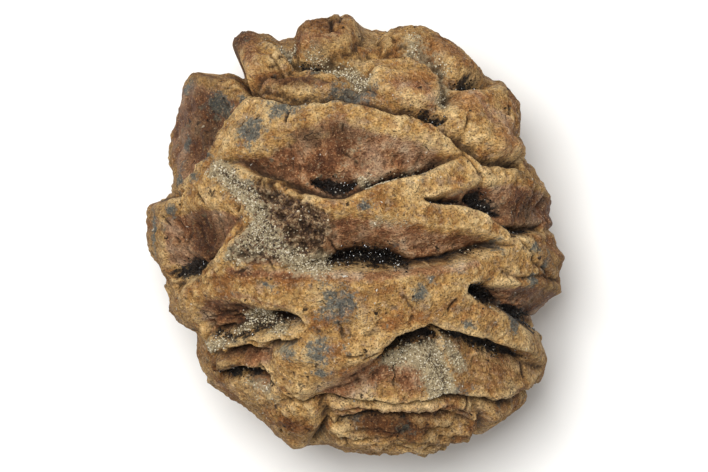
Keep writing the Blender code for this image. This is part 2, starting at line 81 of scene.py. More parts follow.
# The petrified cone. Its form has the same places and sizes as the solid, in millimetres. A place is where
# it shows from above. One outside the outline lies on the far side, as far behind the rim as it is outside.
conePiece = {
    "width": 36.0,
    "length": 37.6,
    "frontDepth": 15.2,
    "backDepth": 13.6,
    "restingDepth": 12.9,
    "meanRadius": 17.5,
    "edgeRound": 0.45,
    "valleyRound": 0.25,
    "creaseWidth": 0.4,
    "facePower": 0.62,
    "faceFade": (0.05, 0.9),  # how far inside the rim the red starts and is full
    "creaseShade": 0.6,
    "shadeWidth": 0.5,
    "slitSteps": 13,
    "slitEnds": 0.25,  # the width there, as a share of the middle's
    "patchFade": 1.2,
    "rimFade": (0.8, 1.0),
    "headFade": (0.05, 0.4),  # heads stand out less at the rim
    "outlineSpread": 1.2,
    "wanders": [(0.016, 4.0), (0.006, 13.0), (0.004, 30.0), (0.0025, 62.0)],  # strength, waves a radius
    "lumps": [(0.4, 5.0), (0.26, 12.0), (0.15, 26.0)],
    "crags": [(0.15, 8.0), (0.13, 19.0), (0.1, 42.0), (0.08, 85.0)],  # knobbly, with sharp creases
    "rimCalm": 0.6,  # the outline from above is smoother than the top
    "calmFade": (0.85, 1.0),
    "faceCalm": 0.45,  # and so are the faces, while soiled skin is rougher
    "soilRough": 0.7,
    "facePits": 0.4,
    "fibres": [(0.16, 13.0), (0.1, 27.0)],  # run down the faces of the scales
    "fibreStretch": (3.0, 0.8, 0.8),
    "layers": [(0.7, 11.0), (0.5, 25.0)],  # thin bands across the foot and the lower left
    "layerStretch": (0.4, 2.6, 1.0),
    "fillGrit": [(-0.5, 13.0), (-0.5, 30.0), (-0.3, 60.0)],  # the crumbly fill is rougher, with sharp rims
    "holeRagged": [(0.7, 28.0), (0.5, 66.0)],
    "pitCount": 420,
    "pitRadii": (0.12, 0.45),
    "pitDepthShare": 0.7,
    "holeDepth": 1.1,
    "shortCracks": 150,  # most run across the ridges
    "crackLengths": (0.7, 2.6),
    "crackWidth": 0.11,
    "crackDepth": 0.35,
    "crackLean": 0.6,
    "crackBend": 0.15,
    "crackDark": 0.9,
    "hollowRounds": [(8, 0.09), (120, 1.4)],  # rounds of smoothing, and the drop that counts as hollow
    # painted shade: darker in hollows and in the fill's large pits
    "hollowShadeFade": (0.1, 2.2),
    "holeShade": (0.3, 0.8),
    "slitClear": (0.35, 0.7),  # no sand in the open slits
    # painted highlight: lighter on raised crests
    "crestHighlightFade": (0.1, 1.6),
    # painted shade: darker towards the flanks
    "flankShade": 0.65,
    "flankFade": (0.74, 1.0),
    "facing": 0.5,  # a patch shows within this cosine of its middle
    "subdivisions": 8,
    "keptShare": 0.59,
    "spotClear": 5.6,  # the underside's resting spot stays smooth
    "spotFull": 9.0,
    "seed": 31,
}

outline = [
    (-10.5, 16.1), (-10.1, 16.8), (-9.4, 17.4), (-8.1, 17.2), (-7.1, 17.3), (-6.6, 16.7), (-6.1, 17),
    (-5.2, 17.2), (-4.9, 17.9), (-3.8, 18.4), (-2.3, 18.5), (-0.8, 18.8), (0, 18.6), (0.6, 18), (1.3, 17.7),
    (2.8, 17.5), (3.8, 17.9), (4.8, 18), (6.1, 17.7), (7.4, 17), (8.4, 16.6), (9.4, 15.8), (10.4, 14.9),
    (11.1, 13.9), (11.8, 13.5), (12.4, 13.5), (12.9, 13), (13.3, 12.3), (14, 11.4), (14, 10.2), (13.8, 9.4),
    (14.2, 8.3), (14.7, 7.1), (15, 6.3), (16, 5), (16.5, 4.4), (17.1, 3.5), (17.4, 2.3), (17.5, 1.4),
    (17.1, 0.9), (16.6, 0.6), (17.1, 0.1), (17.3, -0.7), (18.1, -1.6), (17.8, -2.3), (17.5, -3.1),
    (17.7, -4.1), (17.7, -5.6), (17.5, -6.9), (17.1, -7.8), (15.9, -8.9), (16.4, -9.9), (16.4, -10.7),
    (16, -12), (15.1, -13.5), (14, -14.8), (12.4, -15.9), (10.4, -17), (8.4, -17.5), (6.3, -18.1),
    (4.3, -18.4), (2.8, -18.7), (2.5, -18.4), (2.2, -18.7), (-0.2, -18.6), (-2.3, -18.1), (-3.8, -17.8),
    (-5.1, -18.1), (-6.1, -17.5), (-7.1, -16.5), (-8.4, -15.5), (-9.9, -14.5), (-10.9, -13.7),
    (-12.2, -12.7), (-13.1, -11.7), (-13.6, -10.2), (-13.7, -8.2), (-14.6, -7.6), (-15.2, -7.1),
    (-16, -6.4), (-16, -4.9), (-16.4, -4.1), (-17, -2.8), (-17.6, -1.6), (-17.9, 0.2), (-17.9, 1.7),
    (-18, 2.8), (-17.3, 3.5), (-16, 3.9), (-15.8, 4.8), (-16, 6.6), (-16.1, 7.8), (-16, 9.4), (-15.9, 10.9),
    (-15.2, 12.2), (-14.8, 13.2), (-14, 14.2), (-11.7, 13.9), (-10.3, 14.1), (-9.3, 13.2), (-9.6, 14.6),
]

# The lens-shaped hollows: rim, crease, depth of the faces, depth of the crease, and how red the faces are
hollows = {
    "upperMiddle": ([
        (-12.1, 7), (-9.6, 7.6), (-7.6, 7.7), (-5.3, 8.9), (-2.8, 9), (-0.9, 10.2), (0.8, 9.7), (3.3, 9.2),
        (5.8, 8.6), (7.9, 7.8), (9.5, 7.3), (7.1, 6.1), (5.1, 5.2), (3.1, 4.7), (1, 4), (-0.8, 3.4),
        (-2.8, 3.5), (-4.8, 4), (-6.8, 5), (-8.9, 5.6), (-10.7, 6.5),
    ], [
        (-8.9, 6.1), (-6.3, 5), (-4.1, 4.4), (-1.5, 4), (0.3, 4.6), (2.5, 5.3), (5.3, 6.2), (7.9, 6.9),
    ], 3.6, 0.6, 1.0),
    "middle": ([
        (-10.8, -2.3), (-9.4, -0.3), (-7.4, 1.1), (-4.1, 2.1), (-1.3, 2.3), (1.3, 2.3), (3.8, 1.7),
        (7.6, 0.9), (10.9, 0.4), (14, -0.8), (11.4, -1.8), (8.9, -2.4), (6.3, -2.9), (3.8, -3.1), (0.8, -3),
        (-2.3, -2.9), (-4.8, -2.9), (-7.9, -3),
    ], [
        (-3.8, -2.5), (-1.3, -2.1), (0.8, -1.9), (2.8, -2), (5.1, -2.4), (7.6, -2), (10.2, -1.6),
        (12.4, -1),
    ], 3.2, 0.6, 0.7),
    "lowerMiddle": ([
        (-3.3, -13.3), (-0.2, -11.5), (2.3, -9.9), (3.4, -8.5), (6.3, -7.3), (8.9, -8.2), (11.4, -8.9),
        (14, -9.5), (15.1, -10.3), (13.7, -11.7), (11.4, -13), (8.9, -13.9), (7.6, -14.1), (5.1, -14.3),
        (2.5, -14.5), (-0.2, -14.3), (-2.3, -13.9),
    ], [
        (2.5, -9.4), (4.6, -8.5), (6.3, -8.1), (8.4, -8.9), (10.9, -9.4), (13.7, -10.1),
    ], 3.2, 0.6, 0.3),
    "left": ([
        (-16.4, 2.1), (-14, 2.8), (-11.4, 2.6), (-8.9, 1.9), (-10.5, 0.6), (-11.4, -1), (-12.7, -2.3),
        (-13.8, -3.7), (-15.7, -4.2), (-16.9, -2.6),
    ], [
        (-11.4, -0.7), (-12.9, -2), (-13.8, -2.8), (-15.2, -3.6),
    ], 2.3, 0.5, 0.9),
    "lowerLeft": ([
        (-14, -6.4), (-12.7, -5.1), (-10.7, -5.3), (-8.1, -6.1), (-5.8, -6.7), (-3.7, -7.5), (-4.8, -8.2),
        (-7.1, -8.5), (-9.4, -8.5), (-11.4, -9.3), (-13.1, -9.6), (-13.8, -8.2),
    ], [
        (-12.9, -8.9), (-9.9, -8.2), (-7.4, -7.9), (-4.6, -7.4),
    ], 2.6, 0.3, 1.0),
    "lowerLeftLayer": ([
        (-13.1, -10.2), (-10.7, -9.6), (-7.9, -9.2), (-4.8, -8.5), (-3.7, -8.2), (-4.8, -9.4),
        (-6.5, -10.2), (-6.8, -11.5), (-7.9, -11.8), (-9.4, -11.1), (-11.4, -10.7),
    ], [
        (-10.7, -10.2), (-7.9, -9.7), (-4.8, -8.7),
    ], 1.3, 0.3, 0.8),
    "upperLeft": ([
        (-16, 9.1), (-15, 11.6), (-13.8, 12.7), (-11.4, 12.7), (-9, 12.5), (-10.3, 10.6), (-11.7, 9.1),
        (-12.4, 7.6), (-13.8, 5.8), (-15.9, 4.5),
    ], [
        (-9.3, 12.2), (-11.4, 9.4), (-12.7, 7.3), (-14.3, 5.7),
    ], 1.9, 0.3, 0.8),
    "right": ([
        (5.2, 3.4), (7.9, 4.3), (10.2, 5.1), (12.9, 5.5), (15.7, 4.8), (18.5, 3.8), (20.1, 2.3), (19, 0.2),
        (15, 0.2), (13.1, 0.7), (11.4, 1.9), (9.4, 2.5), (7.4, 3.1),
    ], [
        (6, 3.4), (8.6, 3.3), (10.2, 3.1), (11.6, 2.2), (13.5, 0.7), (16.5, 0.4),
    ], 2.5, 0.5, 0.9),
    "lowerRight": ([
        (9.3, -4.9), (11.4, -4.1), (13.7, -4), (16.5, -4.2), (18.8, -5), (20.1, -6.6), (19, -8.4),
        (16.5, -9.4), (14.7, -8.2), (12.7, -6.9), (10.9, -5.9),
    ], [
        (9.9, -5), (11.9, -5.9), (14, -7.1), (15.5, -8.1), (16.8, -8.9),
    ], 2.8, 0.5, 1.0),
    "footLeft": ([
        (-11.2, -12), (-10.4, -11.4), (-8.9, -11.4), (-7.1, -11.9), (-6.8, -13.7), (-8.1, -14.2),
        (-9.6, -13.2),
    ], [
        (-10.7, -12), (-8.9, -11.8), (-7.2, -12.3),
    ], 1.6, 0.2, 0.6),
    "footPocket": ([
        (-2.8, -14.1), (0.3, -14.6), (3.3, -14.9), (7.9, -14.2), (10.2, -14.1), (9.1, -15.5), (6.3, -16.1),
        (2.8, -16.5), (-1.3, -16.5), (-2.7, -15.5),
    ], [
        (-1.8, -16.1), (1.3, -16), (5.3, -15.8), (7.9, -15.4),
    ], 1.5, 0.2, 0.5),
}

# The blunt heads of scales that stand out: edge, height and the rounding of the edge
heads = {
    "tipKnob": ([
        (-10.7, 16.2), (-9.6, 17.5), (-7.1, 17.4), (-6.5, 16.2), (-5.2, 15.5), (-4.9, 14.6), (-5.8, 13.9),
        (-6.8, 13.4), (-8.9, 12.6), (-9.3, 13.2), (-9.3, 14.4), (-10.1, 15.1),
    ], 1.7, 0.9),
    "tipMiddle": ([
        (-5.1, 17.5), (-3.8, 18.5), (-0.8, 19.1), (0.6, 18.1), (0.7, 17), (-0.2, 15.7), (-2.5, 15.2),
        (-4.8, 15.3), (-5.2, 16.5),
    ], 1.6, 1.0),
    "tipRight": ([
        (1.7, 17.4), (3.1, 18), (5, 18.5), (7.4, 17.6), (9.8, 15.7), (11.4, 13.8), (9, 13.4), (7.6, 14.1),
        (6, 15.8), (3.8, 16.4), (2.3, 16.2),
    ], 1.2, 0.9),
    "tipChip": ([
        (-8.2, 12.7), (-7.1, 13.3), (-5.6, 13.6), (-3.8, 13.5), (-2.4, 13.2), (-1.2, 12.6), (-0.9, 12.4),
        (-1.8, 12), (-3, 11.7), (-4.8, 11.6), (-6.8, 11.9), (-8.1, 12.3),
    ], 0.75, 0.6),
    "shoulderMiddle": ([
        (0.5, 13.2), (1.5, 14.3), (3.3, 14.8), (5.3, 14.6), (6.7, 13.4), (7.1, 11.5), (5.8, 10.6),
        (3.8, 11), (2, 11.8),
    ], 1.2, 0.8),
    "shoulderRight": ([
        (7.7, 12.4), (10.7, 13.1), (12.6, 13.7), (14.2, 12.2), (14.7, 9.9), (14.9, 8.1), (15.1, 6.8),
        (12.4, 6.8), (10.2, 7.6), (7.9, 9.1), (7.1, 10.6),
    ], 1.1, 1.1),
    "upperLeftLedge": ([
        (-14.7, 12.8), (-13.8, 14.2), (-11.7, 13.9), (-10.1, 14), (-9.2, 13), (-11.4, 12.7),
    ], 0.5, 0.5),
    "crest": ([
        (-11.9, 7.2), (-10.4, 9.9), (-8.8, 12.6), (-7.1, 12.4), (-4.8, 11.8), (-1.3, 12.1), (1, 11.5),
        (3.3, 10.7), (6.3, 10.2), (7.9, 8.8), (9.3, 7.3), (7.9, 7.9), (5.8, 8.6), (3.3, 9.3), (0.8, 9.8),
        (-0.9, 10.3), (-2.8, 9), (-5.3, 8.9), (-7.6, 7.7), (-9.6, 7.6),
    ], 0.5, 1.2),
    "crossFoot": ([
        (-6.9, -10.2), (-6, -8.7), (-3.8, -7.9), (-1.3, -8.3), (1.8, -8.1), (3, -8.7), (2.3, -9.9),
        (-0.2, -11.5), (-2.8, -13), (-3.8, -14.1), (-5.3, -13.9), (-6.6, -12.7),
    ], 1.0, 1.7),
    "lowerLeftKnob": ([
        (-12.5, -11), (-11.4, -10.2), (-9.4, -10.2), (-7.9, -11), (-7.9, -11.6), (-9.9, -11.5),
        (-11.4, -12),
    ], 0.8, 0.9),
    "footLeft": ([
        (-6.8, -14.1), (-4.8, -13.8), (-3, -14.2), (-2.5, -16), (-3.2, -17.7), (-5.3, -18.1), (-6.7, -16.7),
        (-8.4, -15.1),
    ], 0.9, 1.3),
    "footRight": ([
        (9.6, -15.1), (10.9, -14), (13.7, -12.6), (15.9, -11.7), (15.5, -13.7), (13.1, -15.6),
        (10.5, -17.2), (9.1, -16.8),
    ], 0.6, 1.3),
    "fill": ([
        (-10.4, -2.3), (-10.5, -0.3), (-8.8, 1.1), (-7.1, 1.6), (-4.8, 2.3), (-2.5, 2.1), (-1.5, 0.7),
        (-2.5, -1), (-3.8, -2.3), (-7.6, -2.9),
    ], 1.2, 1.2),
    "footBand": ([
        (-1.3, -16.5), (2.8, -16.6), (6.3, -16.2), (8.9, -15.5), (8.9, -17), (5.3, -17.8), (1.3, -18.1),
        (-2.3, -17.5),
    ], 0.5, 0.9),
}

# The narrow valleys: line, width, depth, and how dark the painted shade along them is
valleys = {
    "crownEdge": ([
        (-8.9, 12.6), (-7.1, 12.4), (-4.8, 11.8), (-2.3, 11.9), (-1.3, 12.1), (0.8, 11.6), (3.3, 10.7),
        (6.3, 10.3), (7.9, 8.9), (9.1, 8), (10.7, 6.9), (14.7, 6.6),
    ], 0.4, 0.8, 0.6),
    "knobNeck": ([(-10.1, 14.9), (-9.4, 13.9), (-9.2, 12.9)], 0.4, 1.2, 0.6),
    "knobValley": ([(-7.1, 16.7), (-6.3, 16), (-5.1, 14.9)], 0.45, 0.9, 0.5),
    "tipValley": ([(-4.8, 15.1), (-2.5, 15), (-0.5, 14.6), (0.5, 13.5), (-0.2, 12.6)], 0.9, 1.1, 0.0),
    "tipSlope": ([(0.8, 15.6), (2.5, 16.1), (5.7, 15.6), (7.4, 13.8), (7.7, 12.2)], 0.8, 0.9, 0.0),
    "chipUnder": ([(-8.2, 12.2), (-6.8, 11.8), (-4.8, 11.4), (-2.8, 11.5), (-1.1, 12.2)], 0.22, 0.5, 0.95),
    "tipCrack": ([(-1.8, 17.8), (-1.7, 16.5)], 0.2, 0.6, 1.0),
    "tipSecondCrack": ([(-1, 18.4), (-1.1, 17.2)], 0.15, 0.4, 0.8),
    "knobEdge": ([(-6.6, 16.6), (-6.3, 15.8), (-5.2, 15.4)], 0.3, 0.6, 0.5),
    "rightBrow": ([(10.9, 6.8), (12.9, 6.6), (15, 6.6)], 0.3, 0.6, 0.7),
    "lipUnder": ([
        (-1.3, -14.3), (2.8, -14.7), (6.3, -14.5), (10.2, -13.9), (13.7, -12.3), (16, -10.8),
    ], 0.25, 0.5, 0.9),
    "footLine": ([
        (-2.5, -14), (0.3, -14.6), (2.8, -14.9), (5.3, -14.6), (7.9, -14.2), (10.2, -13.9), (12.7, -13),
        (14.7, -11.9), (16.2, -10.7),
    ], 0.45, 1.3, 0.8),
    "footLeftSide": ([(-2.8, -14.1), (-2.4, -16), (-3.8, -18.1)], 0.5, 0.9, 0.5),
    "footRightSide": ([(9.8, -14.2), (9.2, -16.5), (8.4, -17.8)], 0.5, 0.8, 0.6),
    "lipSplit": ([(7, -10.4), (7.6, -12), (7.9, -13.5)], 0.5, 0.7, 0.3),
    "rightNotch": ([(13.6, 0.2), (15.2, 0.4), (17.3, 0.8)], 0.35, 0.9, 0.9),
    "rightSplit": ([(14.2, -0.3), (15.4, -1.2), (15.6, -2.3), (17, -3.2)], 0.2, 0.35, 0.6),
    "rightFissure": ([(12.7, -2.9), (14.2, -3.6), (16.2, -3.5), (17.6, -3.8)], 0.25, 0.4, 0.6),
    "fillEdge": ([(-11.4, 5.8), (-10.1, 4.8), (-8.4, 4), (-7.1, 3.8)], 0.3, 0.7, 0.7),
    "crossSplit": ([(3.9, -5), (4.7, -6.4), (4.4, -7.6)], 0.14, 0.25, 0.5),
    "browSplit": ([(9.4, 7.3), (10.4, 5.8), (11, 5.4)], 0.2, 0.4, 0.5),
    "leftNotch": ([(-18, 3.3), (-16.7, 3.8), (-15.2, 4.3)], 0.5, 0.8, 0.5),
    "leftFootNotch": ([(-16.5, -4.5), (-15, -4), (-13.6, -3.6)], 0.5, 0.7, 0.4),
}

# The dark openings in the creases, where the scales part: line, width, depth and how black it is, for dark
# oxide and painted shade deep inside
openSlits = {
    "upperMiddlePocket": ([(-3.8, 5.5), (-2.5, 5.3), (-1.3, 5.1), (-0.1, 5.5)], 0.85, 1.8, 0.95),
    "upperMiddleSlit": ([(1, 5.1), (1.8, 5.2), (3.8, 5.8), (5.6, 6.2), (7.9, 6.9)], 0.36, 1.1, 0.9),
    "middleSlit": ([
        (-2.7, -2.4), (-1.5, -2), (0.8, -1.7), (2.8, -1.8), (3.9, -2.1), (5.1, -2.4),
    ], 1.05, 2.8, 1.0),
    "middleEnd": ([(4.6, -2.4), (7.6, -2), (10.2, -1.6), (12.4, -1)], 0.24, 0.6, 0.6),
    "leftPocket": ([(-16.6, -3.5), (-15.6, -3), (-14.2, -2.3)], 0.95, 1.2, 1.0),
    "leftCrease": ([(-13.8, -2.7), (-12.4, -1.6), (-11.4, -0.7)], 0.3, 0.6, 0.5),
    "lowerLeftSlit": ([(-7.6, -7.4), (-6.3, -7.2), (-4.8, -7.2)], 0.8, 1.8, 1.0),
    "lowerLeftCrease": ([(-12.9, -9.2), (-11.4, -9.2), (-9.1, -8.6), (-7.1, -8.2)], 0.3, 0.8, 0.75),
    "lowerMiddlePocket": ([
        (2.2, -10.6), (3.3, -10.2), (4.8, -9.7), (6.3, -9.6), (7.5, -9.7),
    ], 1.35, 1.6, 1.0),
    "lowerMiddleSlit": ([(8.5, -9.4), (9.9, -9.9), (11.7, -10.2), (14, -10.8)], 0.8, 1.2, 0.85),
    "rightSlit": ([(6, 3.4), (7.9, 3.4), (9.6, 3.5)], 0.32, 0.8, 0.9),
    "rightPocket": ([(10.2, 3.9), (11.2, 3.7), (12.6, 3.1), (13.6, 2.3)], 0.95, 1.4, 1.0),
    "rightCrease": ([(11.4, 2.1), (13.5, 0.7), (16.5, 0.4)], 0.34, 0.9, 0.8),
    "lowerRightSlit": ([(9.9, -4.5), (11.2, -5.1), (12.4, -5.7), (13.7, -6.4)], 0.85, 1.5, 1.0),
    "lowerRightEnd": ([(14.2, -6.9), (15.5, -7.7), (17, -8.7)], 0.75, 1.2, 1.0),
    "tipPocket": ([(-4.9, 15.4), (-3.9, 15.2), (-2.8, 15), (-2, 14.6)], 0.42, 0.6, 1.0),
    "tipRightPocket": ([(8.3, 13.4), (9.6, 13.5), (11.3, 13.5)], 0.8, 2.0, 1.0),
    "crownPocket": ([(5.5, 10.7), (6.5, 10.5), (7.5, 10.2)], 0.5, 1.4, 1.0),
    "footLeftRecess": ([(-11.8, -12.5), (-10.4, -12.2), (-8.6, -12.2), (-7.1, -12.7)], 1.0, 1.5, 0.95),
    "footBandSlit": ([(-2, -16.3), (0.3, -16.1), (2.8, -16), (5.8, -15.8)], 0.4, 0.7, 0.6),
    "footUnder": ([(-2.5, -14.1), (-0.2, -14.6), (2.8, -14.9), (5.8, -14.5)], 0.32, 0.8, 0.8),
}

# The far side, by rule: hollows in ranks half a step off each other, blunt scales at the tip and foot, and
# the scar of the stem
farSide = {
    "seed": 11,
    "ranks": {-104: 5.2, -156: 9.6, 148: 5.6},
    "step": 8.6,
    "levels": 3,
    "halfWidth": 27.0,
    "depth": 3.0,
    "creaseDepth": 0.4,
    "creaseShare": 0.75,
    "openWidth": 0.5,
    "openDepth": 1.6,
    "openShare": 0.4,
    "darkness": 0.9,
    "wander": 0.7,
    "rises": (3.2, 4.0),
    "sags": (0.9, 1.5),
    "tipScales": [(-150, 14.6), (-95, 14.2), (100, 14.6), (155, 14.9)],
    "footScales": [(-152, -14.7), (-98, -14.0), (104, -14.4), (158, -15.4)],
    "scaleHalfWidth": 22.0,
    "scaleHalfLength": 2.3,
    "scaleHeight": 1.1,
    "grooves": [  # on the right flank
        ((58, 9.0), (88, 7.6), (120, 10.0)),
        ((72, 2.6), (94, 5.5), (112, 12.5)),
        ((122, 2.0), (100, 6.5), (84, 13.5)),
    ],
    "grooveWidth": 0.5,
    "grooveDepth": 1.0,
    "grooveDarkness": 0.6,
    "scarPlace": (0.05, -0.93, -0.36),
    "scarRadius": 2.7,
    "scarRingWidth": 0.8,
    "scarRingHeight": 0.6,
    "scarPitDepth": 0.9,
}

# Where pale sand clings: a line, how wide, and how thick
sandStrips = [
    ([(-11.7, 6.2), (-10.5, 4.8), (-9.1, 3.6), (-8.1, 2.3), (-7.9, 0.5)], 0.95, 1.15),
    ([(-7.9, 1.2), (-6.8, -0.8), (-4.8, -2.2), (-2.8, -2.5)], 0.95, 1.15),
    ([(-10.7, -1.6), (-8.4, -0.3)], 0.5, 0.8),
    ([(-9.4, -1.8), (-7.6, -1)], 0.9, 0.6),
    ([(-3.3, 5.8), (-1.3, 5.8)], 0.6, 0.5),
    ([(0.4, 5.6), (1.3, 4.8), (3.8, 5.6), (6.3, 6.3)], 0.45, 0.9),
    ([(-3.8, 15.1), (-2.3, 14.9), (-0.5, 14.5), (0.6, 13.5)], 0.8, 1.3),
    ([(-6.5, 16.8), (-5.8, 16)], 0.6, 1.1),
    ([(-6.5, 16.7), (-5.6, 16.2)], 0.7, 0.9),
    ([(4.6, 16.2), (6.3, 15.2), (7.5, 13.4), (7.1, 11.5)], 0.9, 0.8),
    ([(3.8, -11), (5.3, -10.8), (6.6, -11.2), (7.2, -12.1), (7.5, -13.5)], 1.2, 1.7),
    ([(8.6, -10.3), (9.6, -12.1)], 0.8, 1.0),
    ([(-9.6, -7.8), (-8.1, -7.3)], 0.8, 1.5),
    ([(-7.5, -8.3), (-5.8, -8.2)], 0.3, 0.9),
    ([(-12.9, -10.1), (-11.4, -9.4), (-9.5, -8.5)], 0.5, 1.1),
    ([(-9.6, -13), (-8.1, -13.5), (-6.8, -13.7)], 0.8, 0.6),
    ([(-8.9, -13.7), (-7.1, -14.2)], 0.6, 0.4),
    ([(2, 1.5), (4.3, 1.2)], 0.5, 0.5),
    ([(8.4, -2.2), (10.4, -1.5), (12.2, -1)], 0.3, 0.4),
    ([(-0.2, 8.1), (1.3, 6.8), (1.5, 5.8)], 0.7, 0.35),
    ([(-2.8, 9.4), (-1.3, 9.9)], 0.5, 0.3),
    ([(-6.6, -9.7), (-4.8, -9.2)], 0.4, 0.4),
    ([(-10.7, -5.6), (-11.4, -6.1)], 0.3, 0.3),
]

# The crumbly brown fill in the left half of the middle hollow
fillPatch = [
    (-11.8, 6.6), (-8.9, 5.5), (-5.8, 4.5), (-2.8, 3.4), (-1.3, 2.5), (-1.5, 0.7), (-2.5, -1), (-3.8, -2.4),
    (-7.6, -2.8), (-10.3, -2.3), (-10.5, -0.3), (-8.8, 1.2), (-9.4, 2.8), (-11.3, 4.3),
]

# Where red-brown stone shows outside the hollows: a line, how wide, and how red
jasperStrips = [
    ([(-10.7, -2.9), (-6.3, -3.2), (1, -3.3), (6.3, -2.9), (10.2, -2.4)], 0.4, 0.75),
    ([(-1.1, 10), (-2.8, 9.1), (-4.8, 8.7)], 0.7, 0.7),
    ([(-11.4, -5.4), (-9.4, -5.1), (-5.8, -6.1)], 0.3, 0.5),
    ([(-2.8, -12.7), (1.3, -10.7), (2.8, -11.5)], 0.9, 0.45),
    ([(3.3, 12.4), (5.3, 12.2), (6.3, 11.1)], 0.7, 0.6),
    ([(9.6, 11.9), (10.9, 9.9)], 0.8, 0.6),
    ([(10.9, 10.4), (12.7, 9.1), (14, 8.1)], 1.2, 0.55),
    ([(-4.8, 16.2), (-2.8, 15.8), (-1.3, 16.2)], 0.6, 0.6),
    ([(-7.4, 13), (-4.8, 13.2), (-2.5, 12.8)], 0.7, 0.6),
    ([(-9.1, 16.2), (-8.1, 14.7), (-7.9, 13.7)], 0.8, 0.55),
    ([(3.8, -12.7), (8.9, -12.7)], 1.0, 0.35),
    ([(-1.3, -13.4), (1.3, -12.6), (3.8, -12), (5.3, -13)], 1.5, 0.8),
    ([(10.9, -11.7), (13.5, -11.1)], 1.0, 0.4),
]

# The large pits of the fill: where the middle is, and the radius
fillPits = [
    (-6.8, 3.6, 0.5), (-5.5, 3.2, 0.4), (-4.6, 4.1, 0.35), (-4.4, 1, 0.5), (-3.1, 0.5, 0.55),
    (-3.7, -0.4, 0.5), (-4.8, -0.6, 0.4), (-8.2, 5, 0.45), (-7.1, 4.7, 0.4), (-5.7, 0.5, 0.35),
    (-3.3, -1.2, 0.4), (-9.3, -1.5, 0.4), (-7.9, 2.5, 0.3), (-6.3, 1.9, 0.35), (-3.8, 2.5, 0.35),
    (-10.1, 2.5, 0.25), (-5.8, 4.7, 0.3), (-5.3, -1.3, 0.3),
]

# Where the scales split into thin layers
layerPatches = [
    [
        (-2.8, -14.1), (0.3, -14.6), (3.3, -14.9), (7.9, -14.2), (10.2, -14), (9.5, -16), (8.9, -17.5),
        (5.3, -18.1), (1.3, -18.4), (-2.3, -17.8),
    ],
    [
        (-13.8, -6.4), (-10.7, -5.4), (-8.1, -6.1), (-3.7, -7.6), (-4.8, -9.4), (-6.5, -10.2),
        (-7.9, -11.5), (-11.4, -12), (-13.1, -11.7), (-13.6, -9.2),
    ],
    [
        (9.4, -5), (13.7, -6.4), (16.5, -8.9), (16, -5.9), (12.7, -4.3),
    ],
]

# Blue-grey stains: where the middle is, and half the width and height, as in the three lists after it
stains = [
    (-0.4, 12.3, 2.6, 1.5), (-8.6, 9.2, 1.8, 1.6), (-5.7, 10.9, 2.0, 1.0), (-11.7, 11.6, 1.8, 1.2),
    (-13.3, 12.4, 1.6, 0.7), (-1.5, -5.7, 2.0, 2.0), (-2.8, -9.4, 1.2, 1.4), (-5.2, -9.6, 1.1, 0.8),
    (5.3, -4.9, 0.9, 1.1), (16.5, -2.6, 1.0, 1.0), (13.7, -7.6, 1.1, 1.1), (8.1, -13.7, 1.8, 0.6),
    (-9.6, 12.4, 0.9, 0.5), (-13.6, 5.6, 0.7, 0.7), (-12.8, 7.3, 0.8, 0.7), (-15, 8.6, 0.7, 1.2),
    (-16, 5.7, 0.5, 2.0), (-17.6, 0.7, 0.5, 2.4), (-7.5, -4, 1.2, 0.3), (0.3, -16.1, 1.2, 0.5),
    (4.1, -16.5, 1.0, 0.4), (10.2, -9.7, 2.2, 0.5), (0.9, 2.8, 0.6, 0.5), (-2.5, -11, 1.0, 0.6),
    (15.7, -0.8, 1.2, 0.7), (-15.7, 2.5, 0.7, 0.7), (6.3, -3.5, 0.6, 0.4), (-8.9, 4.8, 0.6, 0.5),
    (12.4, -0.8, 0.6, 0.8), (15.2, -4.1, 0.8, 1.4), (-3.5, 14.3, 1.2, 0.5), (3.8, -0.8, 0.5, 0.3),
    (9.4, -7.6, 0.7, 0.4),
]

# Where soil has darkened the skin
soilPatches = [
    (-8.9, 15.5, 3.2, 3.2), (-2.8, 17.2, 3.6, 2.2), (-13.2, 9.9, 3.4, 4.2), (-14, -0.3, 3.4, 3.4),
    (-10.4, -7.5, 4.8, 1.7), (-3.8, 8.9, 2.2, 0.8), (-1.3, 15.2, 2.6, 1.6), (-11.9, 13.5, 2.8, 0.9),
    (-4.8, -15.5, 2.0, 2.0), (-4.8, 13.2, 3.0, 1.2), (-11.4, -11.5, 3.2, 1.8), (3.8, -16.5, 4.0, 1.2),
    (2.8, 17.7, 1.6, 1.0), (16.5, -5.4, 2.0, 2.5), (16, 2.5, 2.6, 2.2),
]

# Where the stone is dark umber, with painted shade darkening the tip
umberAndShadePatches = [
    (-8.6, 15.3, 2.0, 2.4), (-4.8, 13, 2.6, 1.0), (-10.7, -6.9, 3.0, 1.2), (14.2, 2.5, 2.4, 1.6),
    (-12.9, 9.6, 2.8, 3.2), (-13.6, -0.3, 2.6, 2.8), (-9.9, -7.1, 4.2, 1.4), (14.7, -5.6, 2.2, 1.1),
    (-0.8, 9.1, 2.4, 1.0), (16, 2.5, 2.6, 1.8), (2.5, -16.5, 5.0, 1.2), (-10.7, -11.5, 3.0, 1.6),
    (-7.9, 3.8, 1.6, 1.6), (-4.8, 1.2, 1.4, 1.6), (17.5, 3.8, 1.2, 2.0), (-1.3, 5, 3.0, 0.8),
    (-14.5, 12.8, 1.4, 0.8), (14.7, 6.3, 1.2, 1.6), (-8.1, -15.5, 1.6, 1.2), (12.4, -9.9, 1.6, 0.5),
    (-3.8, 8.7, 1.4, 0.8), (-6.8, 5.8, 1.6, 0.8), (-9.1, -12.2, 2.6, 1.2), (6.3, -17, 3.0, 0.7),
    (-2.5, -17.3, 2.4, 0.7),
]

